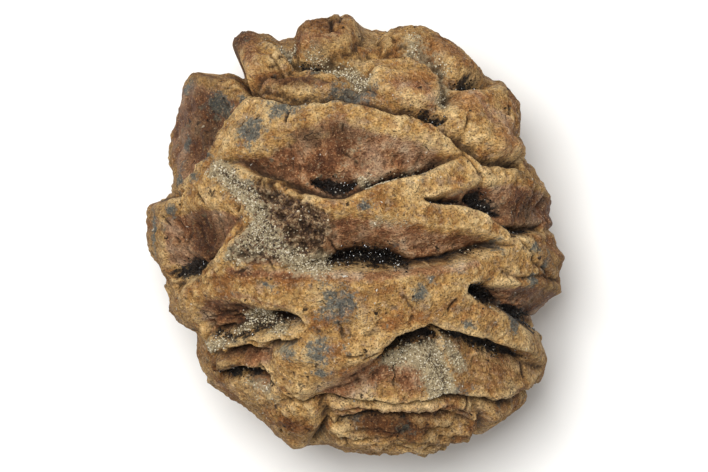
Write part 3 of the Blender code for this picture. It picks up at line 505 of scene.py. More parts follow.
# Where the skin is rusty orange rather than ochre
rustPatches = [
    (-2.6, 16.8, 2.4, 1.6), (4.4, 12.5, 2.6, 1.3), (8.9, 11.6, 2.0, 2.2), (12.3, 8.4, 1.8, 1.8),
    (-11.9, 13.6, 2.2, 0.7), (-12.7, 8.4, 1.8, 1.2), (4.4, 0.8, 2.2, 0.8), (-3.3, -3.5, 5.5, 0.6),
    (1.1, -12, 3.4, 1.3), (13, -14.6, 2.4, 1.6), (-4.8, -15.7, 1.6, 1.6), (-11.9, -11.3, 1.6, 1.6),
    (-8.9, 15.2, 2.4, 2.6), (-2.8, 17, 4.0, 2.0), (6.6, 15.7, 3.0, 1.4), (3.1, -16.5, 4.0, 1.0),
    (-5.3, 13.3, 2.4, 0.8), (2.8, -7.5, 1.4, 0.6),
]

patchesByMark = {"stain": stains, "rust": rustPatches, "umber": umberAndShadePatches, "soil": soilPatches}


def unit(vector):
    return vector / np.linalg.norm(vector)


def seen(place):
    across, along = place[0] / (conePiece["width"] / 2), place[1] / (conePiece["length"] / 2)
    flat = math.hypot(across, along)
    ring = min(flat, 2 - flat)
    height = math.copysign(math.sqrt(1 - ring * ring), 1 - flat)
    return np.array([across * ring / flat, along * ring / flat, height])


def seenAll(places):
    return np.array([seen(place) for place in places])


def turned(around, level):
    along = level / (conePiece["length"] / 2)
    ring = math.sqrt(1 - along * along)
    angle = math.radians(around)
    return np.array([ring * math.sin(angle), along, ring * math.cos(angle)])


def fade(value, low, high):
    share = np.clip((value - low) / (high - low), 0, 1)
    return share * share * (3 - 2 * share)


def bell(away, width):
    return np.exp(-((away / width) ** 2))


def strengthen(marks, name, values):
    marks[name] = np.maximum(marks[name], values)


def lengthAlong(places, way):
    return (places * way).sum(axis=-1)


def rolledOut(directions, middle):
    level = unit(np.cross([0, 1, 0], middle))
    upward = np.cross(middle, level)
    away = np.arccos(np.clip(lengthAlong(directions, middle), -1, 1))
    reach = away / np.maximum(np.sin(away), 1e-9) * conePiece["meanRadius"]
    return np.stack([lengthAlong(directions, way) * reach for way in (level, upward)], axis=1)


def rolledTogether(directions, edge, *lines):
    middle = unit(edge.mean(axis=0))
    return [rolledOut(places, middle) for places in (directions, edge, *lines)]


def toLine(points, line):
    nearest = np.full(len(points), np.inf)
    for start, end in zip(line, line[1:]):
        way = end - start
        share = np.clip(lengthAlong(points - start, way) / lengthAlong(way, way), 0, 1)
        nearest = np.minimum(nearest, np.linalg.norm(points - start - share[:, None] * way, axis=1))
    return nearest


def insideBy(points, edge):
    within = np.zeros(len(points), bool)
    for (ax, ay), (bx, by) in zip(edge, np.roll(edge, -1, axis=0)):
        if ay == by:
            continue
        crosses = (points[:, 1] < ay) != (points[:, 1] < by)
        within ^= crosses & (points[:, 0] < ax + (points[:, 1] - ay) / (by - ay) * (bx - ax))
    inside = np.zeros(len(points))
    inside[within] = toLine(points[within], np.vstack([edge, edge[:1]]))
    return inside


def insideOf(directions, edge):
    return insideBy(*rolledTogether(directions, edge))


def nearLine(directions, line, width):
    return bell(toLine(*rolledTogether(directions, line)), width)


def carve(directions, rim, crease, depth, creaseDepth, redness, marks):
    points, edge, bottom = rolledTogether(directions, rim, crease)
    inside, toCrease = insideBy(points, edge), toLine(points, bottom)
    edgeRound = conePiece["edgeRound"]
    rounded = np.hypot(inside, edgeRound) - edgeRound
    share = rounded / (rounded + np.hypot(toCrease, conePiece["valleyRound"]))
    within = fade(inside, 0, edgeRound)
    strengthen(marks, "face", redness * fade(inside, *conePiece["faceFade"]))
    # painted shade along the crease of each hollow
    strengthen(marks, "crack", conePiece["creaseShade"] * bell(toCrease, conePiece["shadeWidth"]) * within)
    narrow = bell(toCrease, conePiece["creaseWidth"]) * within
    return depth * share ** conePiece["facePower"] + creaseDepth * narrow


def raiseHead(directions, edge, height, rounding):
    slope = 1 - np.minimum(insideOf(directions, edge) / rounding, 1)
    return height * (1 - slope * slope)


def openUp(directions, line, width, depth, darkness, marks):
    # a lens: widest halfway along the line, and narrow at its ends
    points, way = rolledTogether(directions, line)
    steps = np.linspace(0, len(way) - 1, conePiece["slitSteps"])
    way = np.stack([np.interp(steps, range(len(way)), axis) for axis in way.T], axis=1)
    ends = conePiece["slitEnds"]
    near = np.zeros(len(points))
    for number, (start, end) in enumerate(zip(way, way[1:])):
        wide = width * (ends + (1 - ends) * math.sin(math.pi * (number + 0.5) / (len(way) - 1)))
        near = np.maximum(near, bell(toLine(points, [start, end]), wide))
    # the slit is painted near black: dark oxide together with painted shade deep in it
    strengthen(marks, "slit", near * darkness)
    return depth * near


def farHollows(draw):
    steps = np.linspace(-1, 1, 9)
    half = farSide["halfWidth"]
    for around, topLevel in farSide["ranks"].items():
        for row in range(farSide["levels"]):
            level = topLevel - farSide["step"] * row + draw.uniform(-farSide["wander"], farSide["wander"])
            rise = draw.uniform(*farSide["rises"])
            sag = draw.uniform(*farSide["sags"])
            upper = [turned(around + half * t, level + rise * (1 - t * t)) for t in steps]
            lower = [turned(around + half * t, level - sag * (1 - t * t)) for t in steps[-2:0:-1]]
            crease = [turned(around + half * farSide["creaseShare"] * t, level) for t in steps]
            opening = [turned(around + half * farSide["openShare"] * t, level) for t in steps]
            yield np.array(upper + lower), np.array(crease), np.array(opening)


def farScaleEdges():
    corners = np.radians(np.arange(0, 360, 40))
    wide, long = farSide["scaleHalfWidth"], farSide["scaleHalfLength"]
    for around, level in farSide["tipScales"] + farSide["footScales"]:
        yield np.array([turned(around + wide * math.cos(a), level + long * math.sin(a)) for a in corners])


def stemScar(directions):
    middle = unit(np.array(farSide["scarPlace"]))
    away = np.linalg.norm(directions - middle, axis=1) * conePiece["meanRadius"]
    ring = farSide["scarRingHeight"] * bell(away - farSide["scarRadius"], farSide["scarRingWidth"])
    return ring - farSide["scarPitDepth"] * bell(away, farSide["scarRadius"] / 2)


def reliefOf(directions, marks):
    height = stemScar(directions)
    dark = farSide["darkness"]
    for rim, crease, *sizes in hollows.values():
        height -= carve(directions, seenAll(rim), seenAll(crease), *sizes, marks)
    for line, *sizes in openSlits.values():
        height -= openUp(directions, seenAll(line), *sizes, marks)
    for rim, crease, opening in farHollows(np.random.default_rng(farSide["seed"])):
        height -= carve(directions, rim, crease, farSide["depth"], farSide["creaseDepth"], dark, marks)
        height -= openUp(directions, opening, farSide["openWidth"], farSide["openDepth"], dark, marks)
    offRim = fade(np.abs(directions[:, 2]), *conePiece["headFade"])
    edges = [(seenAll(edge), rise, rounding) for edge, rise, rounding in heads.values()]
    edges += [(edge, farSide["scaleHeight"], farSide["scaleHeight"]) for edge in farScaleEdges()]
    for edge in edges:
        height += offRim * raiseHead(directions, *edge)
    lines = [(seenAll(line), *sizes) for line, *sizes in valleys.values()]
    for path in farSide["grooves"]:
        line = np.array([turned(around, level) for around, level in path])
        lines.append((line, farSide["grooveWidth"], farSide["grooveDepth"], farSide["grooveDarkness"]))
    for line, width, depth, darkness in lines:
        near = nearLine(directions, line, width)
        height -= depth * near
        # painted shade along the valley and groove lines
        strengthen(marks, "crack", darkness * near**2)
    return height


def offSpot(directions):
    fromSpot = np.hypot(directions[:, 0], directions[:, 1]) * conePiece["meanRadius"]
    return np.where(directions[:, 2] < 0, fade(fromSpot, conePiece["spotClear"], conePiece["spotFull"]), 1)


def outlineReach(bearing):
    x, y = np.array(outline).T
    corners = np.arctan2(y, x)
    order = np.argsort(corners)
    turns = np.radians(np.arange(-180, 180, 0.5))
    reach = np.interp(turns, corners[order], np.hypot(x, y)[order], period=2 * math.pi)
    padded = np.concatenate([reach[-8:], reach, reach[:8]])
    spread = bell(np.arange(-8, 9), conePiece["outlineSpread"])
    spread /= spread.sum()
    smooth = sum(share * padded[first:first + len(reach)] for first, share in enumerate(spread))
    return np.interp(bearing, turns, smooth, period=2 * math.pi)


def bodyPlaces(directions):
    x, y, z = directions.T
    bearing = np.arctan2(y, x)
    halfWide, halfLong = conePiece["width"] / 2, conePiece["length"] / 2
    oval = 1 / np.hypot(np.cos(bearing) / halfWide, np.sin(bearing) / halfLong)
    reach = oval + (outlineReach(bearing) - oval) * fade(np.hypot(x, y), *conePiece["rimFade"])
    depth = np.where(z > 0, conePiece["frontDepth"], conePiece["backDepth"])
    return np.stack([x * reach, y * reach, z * depth], axis=1)


def noiseSum(directions, waves, folded=False):
    vectors = [Vector(d) for d in directions]
    total = np.zeros(len(directions))
    for strength, count in waves:
        values = np.array([noise.noise(v * count) for v in vectors])
        total += strength * (2 * np.abs(values) - 0.5 if folded else values)
    return total


def pitDepths(directions):
    draw = np.random.default_rng(conePiece["seed"])
    centres = draw.normal(size=(conePiece["pitCount"], 3))
    smallest, largest = conePiece["pitRadii"]
    radii = smallest + (largest - smallest) * draw.random(len(centres)) ** 3
    tree = kdtree.KDTree(len(directions))
    for number, direction in enumerate(directions):
        tree.insert(direction, number)
    tree.balance()
    depths = np.zeros(len(directions))
    for centre, radius in zip(centres, radii):
        for _, number, away in tree.find_range(unit(centre), radius / conePiece["meanRadius"]):
            bowl = 1 - (away * conePiece["meanRadius"] / radius) ** 2
            depths[number] = max(depths[number], conePiece["pitDepthShare"] * radius * bowl)
    return depths


def shortCracks(directions):
    draw = np.random.default_rng(conePiece["seed"] + 1)
    depths = np.zeros(len(directions))
    for _ in range(conePiece["shortCracks"]):
        middle = unit(draw.normal(size=3))
        half = draw.uniform(*conePiece["crackLengths"]) / 2
        lean = draw.normal(0, conePiece["crackLean"])
        near = lengthAlong(directions, middle) > math.cos(1.5 * half / conePiece["meanRadius"] + 0.03)
        points = rolledOut(directions[near], middle)
        bends = draw.uniform(-conePiece["crackBend"], conePiece["crackBend"], 5) * half
        steps = np.linspace(-half, half, 5)
        line = np.stack([steps * math.sin(lean) + bends, steps * math.cos(lean)], axis=1)
        ends = 1 - np.minimum(np.linalg.norm(points, axis=1) / half, 1) ** 4
        depths[near] = np.maximum(depths[near], bell(toLine(points, line), conePiece["crackWidth"]) * ends)
    return depths


def evened(mesh, values, rounds):
    ends = np.empty(len(mesh.edges) * 2, np.int32)
    mesh.edges.foreach_get("vertices", ends)
    one, other = ends.reshape(-1, 2).T
    size = len(values)
    count = np.bincount(one, minlength=size) + np.bincount(other, minlength=size)
    for _ in range(rounds):
        around = np.bincount(one, values[other], size) + np.bincount(other, values[one], size)
        values = (values + around / count) / 2
    return values


def setMarks(directions, marks):
    for name, patches in (("fill", [fillPatch]), ("layers", layerPatches)):
        for patch in patches:
            strengthen(marks, name, fade(insideOf(directions, seenAll(patch)), 0.0, conePiece["patchFade"]))
    # painted shade: the flanks get darker towards the outline, on top of the umber patches
    flank = np.hypot(directions[:, 0], directions[:, 1])
    marks["umber"] = conePiece["flankShade"] * fade(flank, *conePiece["flankFade"])
    for name, strips in (("face", jasperStrips), ("sand", sandStrips)):
        for line, width, strength in strips:
            strengthen(marks, name, strength * nearLine(directions, seenAll(line), width))
    marks["sand"] *= 1 - fade(marks["slit"], *conePiece["slitClear"])
    ragged = 1 + noiseSum(directions, conePiece["holeRagged"])
    pits = [(x, y, radius / ragged, radius / ragged) for x, y, radius in fillPits]
    for name, patches in {"hole": pits, **patchesByMark}.items():
        for x, y, halfWide, halfHigh in patches:
            middle = seen((x, y))
            across, upward = rolledOut(directions, middle).T
            facing = lengthAlong(directions, middle) > conePiece["facing"]
            strengthen(marks, name, bell(across, halfWide) * bell(upward, halfHigh) * facing)


def makeConeSurface():
    mesh = bpy.data.meshes.new("fossilConeStone")
    sphere = bmesh.new()
    bmesh.ops.create_icosphere(sphere, subdivisions=conePiece["subdivisions"], radius=1)
    sphere.to_mesh(mesh)
    sphere.free()
    directions = np.empty(len(mesh.vertices) * 3, np.float32)
    mesh.vertices.foreach_get("co", directions)
    directions = directions.reshape(-1, 3).astype(float)
    moved = directions.copy()
    noise.seed_set(conePiece["seed"])  # noise_vector takes its offsets from the clock otherwise
    vectors = [Vector(d) for d in directions]
    for strength, waves in conePiece["wanders"]:
        moved += strength * np.array([noise.noise_vector(v * waves) for v in vectors])
    moved /= np.linalg.norm(moved, axis=1)[:, None]

    names = ("face", "slit", "crack", "hole", "sand", "fill", "layers", *patchesByMark)
    marks = {name: np.zeros(len(directions)) for name in names}
    height = reliefOf(moved, marks)
    setMarks(moved, marks)
    calm = offSpot(directions)
    plain = 1 - np.clip(marks["slit"] * 2, 0, 1)
    height = height * calm + noiseSum(directions, conePiece["lumps"])
    rim = fade(np.hypot(directions[:, 0], directions[:, 1]), *conePiece["calmFade"])
    rougher = 1 - conePiece["faceCalm"] * marks["face"] + conePiece["soilRough"] * marks["soil"]
    rougher *= 1 - conePiece["rimCalm"] * rim
    rough = noiseSum(directions, conePiece["crags"], folded=True) * rougher * plain
    rough += noiseSum(directions * conePiece["fibreStretch"], conePiece["fibres"]) * marks["face"] * plain
    rough += noiseSum(directions * conePiece["layerStretch"], conePiece["layers"]) * marks["layers"]
    rough += noiseSum(directions, conePiece["fillGrit"], folded=True) * marks["fill"]
    pits = pitDepths(directions) * (1 - (1 - conePiece["facePits"]) * marks["face"])
    rough -= pits + conePiece["holeDepth"] * marks["hole"]
    cracks = shortCracks(moved)
    rough -= conePiece["crackDepth"] * cracks
    strengthen(marks, "crack", conePiece["crackDark"] * cracks)
    height += rough * calm
    # painted shade where the surface lies below its smoothed surroundings and in the fill's large pits;
    # painted highlight where it stands above them
    smoothings = conePiece["hollowRounds"]
    hollowness = sum((evened(mesh, height, rounds) - height) / drop for rounds, drop in smoothings)
    marks["grime"] = fade(hollowness, *conePiece["hollowShadeFade"])
    strengthen(marks, "grime", fade(marks["hole"], *conePiece["holeShade"]))
    marks["crestHighlight"] = fade(-hollowness, *conePiece["crestHighlightFade"])

    thickness = conePiece["frontDepth"] + conePiece["backDepth"]
    outward = directions / np.array([conePiece["width"], conePiece["length"], thickness])
    outward /= np.linalg.norm(outward, axis=1)[:, None]
    places = bodyPlaces(directions) + outward * height[:, None]
    places[:, 2] = np.maximum(places[:, 2], -conePiece["restingDepth"])
    low, high = places.min(axis=0), places.max(axis=0)
    places -= np.array([(low[0] + high[0]) / 2, (low[1] + high[1]) / 2, low[2]])
    mesh.vertices.foreach_set("co", (places * mm).astype(np.float32).ravel())
    for name, values in marks.items():
        kept = (values * calm).astype(np.float32)
        mesh.attributes.new(name, "FLOAT", "POINT").data.foreach_set("value", kept)
    cone = bpy.data.objects.new("coneStone", mesh)
    bpy.context.scene.collection.objects.link(cone)
    fewer = cone.modifiers.new("fewerFaces", "DECIMATE")
    fewer.ratio = conePiece["keptShare"]
    graph = bpy.context.evaluated_depsgraph_get()
    cone.data = bpy.data.meshes.new_from_object(cone.evaluated_get(graph))
    cone.modifiers.clear()
    cone.data.shade_smooth()
    return cone


cone = makeConeSurface()
print("cone stone:", len(cone.data.polygons), "faces")


# Silicified wood with a weathered skin of limonite: matt ochre on the scale edges, where the iron has rusted,
# a smoother red-brown jasper on their faces, black manganese oxide with painted shade in the slits, and the
# oxide as blue-grey stains.
stoneFinish = {
    "ochre": [(0.28, "#6C461F"), (0.42, "#9A7039"), (0.56, "#BE9558"), (0.74, "#DEBD85")],
    "jasper": [(0.3, "#4A2814"), (0.46, "#7E5030"), (0.6, "#A4754D"), (0.76, "#BE9B76")],
    "fill": [(0.22, "#22140C"), (0.44, "#573A25"), (0.6, "#856545"), (0.8, "#B39D7C")],
    "bloom": "#B3A48F",  # milky quartz on the jasper
    "soil": "#C8BCA8",
    "noises": {  # size in mm, detail and roughness
        "mottle": (2.6, 6.0, 0.6),
        "patch": (1.1, 6.0, 0.7),
        "grain": (0.42, 4.0, 0.7),
        "fine": (0.17, 2.0, 0.6),  # coarser than the real grain, so that it shows at the photo's distance
    },
    "clouded": {  # a share by noise: which noise, from, to, and the most
        "brown": ("mottle", 0.46, 0.36, 0.5),
        "pale": ("patch", 0.48, 0.36, 0.45),
        "rusty": ("patch", 0.5, 0.68, 0.7),
        "bloom": ("mottle", 0.48, 0.68, 0.4),
        "darkFleck": ("fine", 0.43, 0.35, 0.6),
        "paleFleck": ("fine", 0.6, 0.68, 0.5),
    },
    "frayed": {  # a share by mark: which mark, the noise that frays it and how much, from, to, and the most
        "rust": ("rust", "patch", 1.2, 0.3, 0.9, 0.7),
        "face": ("face", "both", 1.3, 0.22, 0.62, 1.0),
        "umber": ("umber", "patch", 1.4, 0.25, 1.0, 0.75),
        "fill": ("fill", "patch", 1.2, 0.2, 0.7, 1.0),
        "stain": ("stain", "both", 2.4, 0.38, 0.85, 0.82),
        "stainHeart": ("stain", "both", 3.0, 0.8, 1.3, 0.6),
        "sand": ("sand", "both", 2.0, 0.25, 0.8, 0.9),
        "grime": ("grime", "grain", 0.5, 0.15, 1.0, 0.8),
        "crack": ("crack", "both", 0.9, 0.25, 0.9, 0.9),
        "slit": ("slit", "both", 1.7, 0.36, 0.66, 0.94),
        "soil": ("soil", "both", 1.2, 0.1, 1.0, 1.0),
    },
    "dots": {"pit": (0.9, 0.22, 0.72, 0.8), "speck": (0.36, 0.3, 0.86, 0.9)},  # size, radius, cells
    "layers": [  # over the ochre, from the lowest up
        ("brown", "#925828"), ("pale", "#C2A98A"), ("rusty", "#925828"), ("rust", "#925828"),
        ("face", "jasper"), ("umber", "#4E2F16"), ("fill", "fill"), ("stain", "#5B6664"),
        ("stainHeart", "#363D3E"), ("darkFleck", "#4E2F16"), ("paleFleck", "#CDAA7C"), ("sand", "#A39475"),
        # painted shade in hollows and pits, along creases and valleys together with real cracks, and in small
        # pits; the hairlines are real
        ("grime", "#33210F"), ("crack", "#33210F"), ("hair", "#33210F"), ("pit", "#33210F"),
        # near black in the slits: dark oxide with painted shade
        ("speck", "#D5CDBD"), ("slit", "#0F0C0A"),
    ],
    "bendSize": 1.2,
    "bendBy": 1.6,
    "crackSize": 5.0,
    "cellSize": 0.3,
    "crestHighlightLift": 0.16,
    "bumpHeight": 0.4,
    "ior": 1.54,
    "shine": 0.3,  # the dusty skin shines less than clean quartz
}


def perMetre(sizeInMm):
    return 1000 / sizeInMm


def addScaled(tree, value, amount, base):
    sums = {0: value, 1: amount, 2: base}
    return addNode(tree, "ShaderNodeMath", sums, operation="MULTIPLY_ADD").outputs[0]


def shareBetween(tree, value, low, high, most=1.0, least=0.0):
    limits = {"Value": value, "From Min": low, "From Max": high, "To Min": least, "To Max": most}
    return addNode(tree, "ShaderNodeMapRange", limits).outputs["Result"]


def makeStoneMaterial():
    f = stoneFinish
    material = bpy.data.materials.new("limoniteJasperStone")
    material.use_nodes = True
    tree = material.node_tree
    shader = tree.nodes["Principled BSDF"]
    place = addNode(tree, "ShaderNodeTexCoord").outputs["Object"]
    cloud = {}
    for name, (size, detail, rough) in f["noises"].items():
        inputs = {"Vector": place, "Scale": perMetre(size), "Detail": detail, "Roughness": rough}
        cloud[name] = addNode(tree, "ShaderNodeTexNoise", inputs).outputs["Fac"]
    fray = {
        name: addNode(tree, "ShaderNodeMath", {0: cloud[name], 1: 0.5}, operation="SUBTRACT").outputs[0]
        for name in ("patch", "grain")
    }
    sums = {0: fray["patch"], 1: fray["grain"]}
    fray["both"] = addNode(tree, "ShaderNodeMath", sums, operation="ADD").outputs[0]
    share = {}
    for name, (source, *limits) in f["clouded"].items():
        share[name] = shareBetween(tree, cloud[source], *limits)
    for name, (mark, source, amount, *limits) in f["frayed"].items():
        value = addNode(tree, "ShaderNodeAttribute", attribute_name=mark).outputs["Fac"]
        share[name] = shareBetween(tree, addScaled(tree, fray[source], amount, value), *limits)

    # the three grounds: ochre skin, red-brown jasper faces and the crumbly fill
    # painted highlight: raised crests get a lighter tone
    crestHighlight = addNode(tree, "ShaderNodeAttribute", attribute_name="crestHighlight").outputs["Fac"]
    tone = addScaled(tree, crestHighlight, f["crestHighlightLift"], addScaled(tree, fray["patch"], 0.6, cloud["mottle"]))
    tones = {"ochre": tone, "jasper": tone, "fill": addScaled(tree, fray["grain"], 1.5, tone)}
    ground = {}
    for name, value in tones.items():
        ground[name] = addNode(tree, "ShaderNodeValToRGB", {"Fac": value}, f[name]).outputs["Color"]
    bloomed = {0: share["bloom"], 6: ground["jasper"], 7: toLinear(f["bloom"])}
    ground["jasper"] = addNode(tree, "ShaderNodeMix", bloomed, data_type="RGBA").outputs[2]

    # quartz specks, small pits darkened with painted shade, and a few hairlines
    inputs = {"Vector": place, "Scale": perMetre(f["bendSize"]), "Detail": 3.0}
    bent = addNode(tree, "ShaderNodeTexNoise", inputs).outputs["Color"]
    inputs = {0: bent, 1: [f["bendBy"] * mm] * 3, 2: place}
    bentPlace = addNode(tree, "ShaderNodeVectorMath", inputs, operation="MULTIPLY_ADD").outputs[0]
    for name, (size, radius, low, high) in f["dots"].items():
        cell = addNode(tree, "ShaderNodeTexVoronoi", {"Vector": bentPlace, "Scale": perMetre(size)}).outputs
        dot = shareBetween(tree, cell["Distance"], radius, radius / 2)
        picked = {0: dot, 1: shareBetween(tree, cell["Color"], low, high)}
        share[name] = addNode(tree, "ShaderNodeMath", picked, operation="MULTIPLY").outputs[0]
    inputs = {"Vector": bentPlace, "Scale": perMetre(f["crackSize"])}
    cracks = addNode(tree, "ShaderNodeTexVoronoi", inputs, feature="DISTANCE_TO_EDGE").outputs["Distance"]
    hairs = {0: shareBetween(tree, cracks, 0.014, 0.004)}
    hairs[1] = shareBetween(tree, cloud["mottle"], 0.6, 0.66, 0.8)
    share["hair"] = addNode(tree, "ShaderNodeMath", hairs, operation="MULTIPLY").outputs[0]

    colour = ground["ochre"]
    for name, layer in f["layers"]:
        over = {0: share[name], 6: colour, 7: ground[layer] if layer in ground else toLinear(layer)}
        colour = addNode(tree, "ShaderNodeMix", over, data_type="RGBA").outputs[2]

    # the lightness of each sand-size grain, then soil, and the light and dark of the noises
    inputs = {"Vector": bentPlace, "Scale": perMetre(f["cellSize"])}
    cell = addNode(tree, "ShaderNodeTexVoronoi", inputs).outputs["Color"]
    factors = [
        (1.0, shareBetween(tree, cell, 0, 1, 1.22, 0.74)),
        (share["soil"], toLinear(f["soil"])),
        (1.0, shareBetween(tree, cloud["grain"], 0.3, 0.7, 1.34, 0.68)),
        (1.0, shareBetween(tree, cloud["fine"], 0.3, 0.7, 1.25, 0.8)),
    ]
    for amount, factor in factors:
        over = {0: amount, 6: colour, 7: factor}
        colour = addNode(tree, "ShaderNodeMix", over, data_type="RGBA", blend_type="MULTIPLY").outputs[2]
    tree.links.new(colour, shader.inputs["Base Color"])

    roughness = shareBetween(tree, cloud["grain"], 0.3, 0.7, 0.95, 0.68)
    for name, less in (("face", -0.15), ("slit", -0.3)):
        roughness = addScaled(tree, share[name], less, roughness)
    tree.links.new(roughness, shader.inputs["Roughness"])
    shader.inputs["IOR"].default_value = f["ior"]
    shader.inputs["Specular IOR Level"].default_value = f["shine"]

    relief = addScaled(tree, cloud["fine"], 0.6, cloud["grain"])
    for name in ("pit", "hair"):
        relief = addScaled(tree, share[name], -0.6, relief)
    bump = addNode(tree, "ShaderNodeBump", {"Height": relief, "Distance": f["bumpHeight"] * mm})
    tree.links.new(bump.outputs["Normal"], shader.inputs["Normal"])
    return material


stoneMaterial = makeStoneMaterial()
cone.data.materials.clear()
cone.data.materials.append(stoneMaterial)
print("stone finish done")


def makeGrainMaterial(name, tones, roughness, ior):
    material = bpy.data.materials.new(name)
    material.use_nodes = True
    tree = material.node_tree
    shader = tree.nodes["Principled BSDF"]
    tint = addNode(tree, "ShaderNodeAttribute", attribute_name="tint").outputs["Fac"]
    ramp = addNode(tree, "ShaderNodeValToRGB", {"Fac": tint}, tones)
    ramp.color_ramp.interpolation = "CONSTANT"
    place = addNode(tree, "ShaderNodeTexCoord").outputs["Object"]
    inputs = {"Vector": place, "Scale": perMetre(0.12), "Detail": 2.0}
    cloud = addNode(tree, "ShaderNodeTexNoise", inputs).outputs["Fac"]
    mixed = {0: 1.0, 6: ramp.outputs["Color"], 7: shareBetween(tree, cloud, 0.3, 0.7, 1.15, 0.8)}
    colour = addNode(tree, "ShaderNodeMix", mixed, data_type="RGBA", blend_type="MULTIPLY").outputs[2]
    tree.links.new(colour, shader.inputs["Base Color"])
    shader.inputs["Roughness"].default_value = roughness
    shader.inputs["IOR"].default_value = ior
    return material


def randomValue(tree, kind, least, most, seed):
    low, high, result = (0, 1, 0) if kind == "FLOAT_VECTOR" else (2, 3, 1)
    inputs = {low: least, high: most, "Seed": seed}
    return addNode(tree, "FunctionNodeRandomValue", inputs, data_type=kind).outputs[result]


def addCrystal(tree):
    # a six-sided shaft with a point, about one unit long
    ends = {"shaft": (0.34, 0.4), "point": (0.0, 0.34)}
    part = {}
    for name, (top, bottom) in ends.items():
        inputs = {"Vertices": 6, "Radius Top": top, "Radius Bottom": bottom, "Depth": 0.4}
        part[name] = addNode(tree, "GeometryNodeMeshCone", inputs, fill_type="NONE").outputs["Mesh"]
    lifted = {"Geometry": part["point"], "Translation": (0, 0, 0.4)}
    join = addNode(tree, "GeometryNodeJoinGeometry")
    tree.links.new(part["shaft"], join.inputs[0])
    tree.links.new(addNode(tree, "GeometryNodeTransform", lifted).outputs["Geometry"], join.inputs[0])
    return join.outputs["Geometry"]


# How the grains, crumbs and crystals are strewn
scatterRule = {
    "clumpSize": 1.4,  # mm
    "clumpAmount": 2.4,  # how far noise frays a patch
    "clumpFade": (1.6, 2.4),
    "thinnest": 0.12,
    "lean": (0.6, 0.6, 3.1),  # either way, in radians
    "turn": 6.28,
    "build": (0.7, 1.25),  # the stretch along each axis
    "seeds": {"turn": 3, "size": 5, "build": 7, "tint": 9},
}


def makeScatterTree(name, patch, crystal, material):
    rule, seeds = scatterRule, scatterRule["seeds"]
    tree = bpy.data.node_groups.new(name, "GeometryNodeTree")
    tree.interface.new_socket("Geometry", in_out="INPUT", socket_type="NodeSocketGeometry")
    for label, kind in (("Density", "Float"), ("Smallest", "Float"), ("Largest", "Float"), ("Seed", "Int")):
        tree.interface.new_socket(label, in_out="INPUT", socket_type="NodeSocket" + kind)
    tree.interface.new_socket("Geometry", in_out="OUTPUT", socket_type="NodeSocketGeometry")
    given = tree.nodes.new("NodeGroupInput").outputs
    where = addNode(tree, "GeometryNodeInputNamedAttribute", {"Name": patch}, data_type="FLOAT").outputs[0]
    inputs = {"Scale": perMetre(rule["clumpSize"]), "Detail": 3.0}
    cloud = addNode(tree, "ShaderNodeTexNoise", inputs).outputs["Fac"]
    clear = shareBetween(tree, addScaled(tree, cloud, rule["clumpAmount"], where), *rule["clumpFade"])
    inputs = {0: where, 1: rule["thinnest"]}
    shown = addNode(tree, "ShaderNodeMath", inputs, operation="GREATER_THAN").outputs[0]
    for factor in (shown, given["Density"]):
        clear = addNode(tree, "ShaderNodeMath", {0: clear, 1: factor}, operation="MULTIPLY").outputs[0]
    inputs = {"Mesh": given["Geometry"], "Density": clear, "Seed": given["Seed"]}
    spread = addNode(tree, "GeometryNodeDistributePointsOnFaces", inputs, distribute_method="RANDOM").outputs
    if crystal:
        grain = addCrystal(tree)
        other = [-angle for angle in rule["lean"]]
        lean = randomValue(tree, "FLOAT_VECTOR", other, rule["lean"], seeds["turn"])
        inputs = {"Rotation": spread["Rotation"], "Rotate By": lean}
        rotation = addNode(tree, "FunctionNodeRotateRotation", inputs, rotation_space="LOCAL").outputs[0]
    else:
        grain = addNode(tree, "GeometryNodeMeshIcoSphere", {"Radius": 0.5, "Subdivisions": 1}).outputs["Mesh"]
        rotation = randomValue(tree, "FLOAT_VECTOR", (0, 0, 0), [rule["turn"]] * 3, seeds["turn"])
    size = randomValue(tree, "FLOAT", given["Smallest"], given["Largest"], seeds["size"])
    least, most = rule["build"]
    build = randomValue(tree, "FLOAT_VECTOR", [least] * 3, [most] * 3, seeds["build"])
    scale = addNode(tree, "ShaderNodeVectorMath", {0: build, "Scale": size}, operation="SCALE").outputs[0]
    inputs = {"Points": spread["Points"], "Instance": grain, "Rotation": rotation, "Scale": scale}
    placed = addNode(tree, "GeometryNodeInstanceOnPoints", inputs).outputs["Instances"]
    tint = randomValue(tree, "FLOAT", 0.0, 1.0, seeds["tint"])
    inputs = {"Geometry": placed, "Name": "tint", "Value": tint}
    tinted = addNode(tree, "GeometryNodeStoreNamedAttribute", inputs, data_type="FLOAT", domain="INSTANCE")
    real = addNode(tree, "GeometryNodeRealizeInstances", {"Geometry": tinted.outputs["Geometry"]}).outputs[0]
    finished = addNode(tree, "GeometryNodeSetMaterial", {"Geometry": real, "Material": material}).outputs[0]
    addNode(tree, "NodeGroupOutput", {"Geometry": finished})
    return tree


def scatter(name, piece, tree):
    grains = bpy.data.objects.new(name, cone.data.copy())
    bpy.context.scene.collection.objects.link(grains)
    modifier = grains.modifiers.new(name, "NODES")
    modifier.node_group = tree
    for socket in tree.interface.items_tree:
        if socket.in_out == "INPUT" and socket.name in piece:
            modifier[socket.identifier] = piece[socket.name]
    graph = bpy.context.evaluated_depsgraph_get()
    grains.data = bpy.data.meshes.new_from_object(grains.evaluated_get(graph))
    grains.modifiers.clear()
    print(name + ":", len(grains.data.polygons), "faces")
    return grains


# Quartz sand: clear to milky water-worn grains, so they look pale and catch small lights
sandPiece = {"Density": 5.2e7, "Smallest": 0.00008, "Largest": 0.00019, "Seed": 21}
sandTones = [(0.0, "#A99A79"), (0.28, "#C2B597"), (0.5, "#8A7A5C"), (0.68, "#D8CEB6"), (0.84, "#5A4A37")]
sandMaterial = makeGrainMaterial("quartzSand", sandTones, 0.45, 1.54)
sand = scatter("sandGrains", sandPiece, makeScatterTree("sandScatter", "sand", False, sandMaterial))

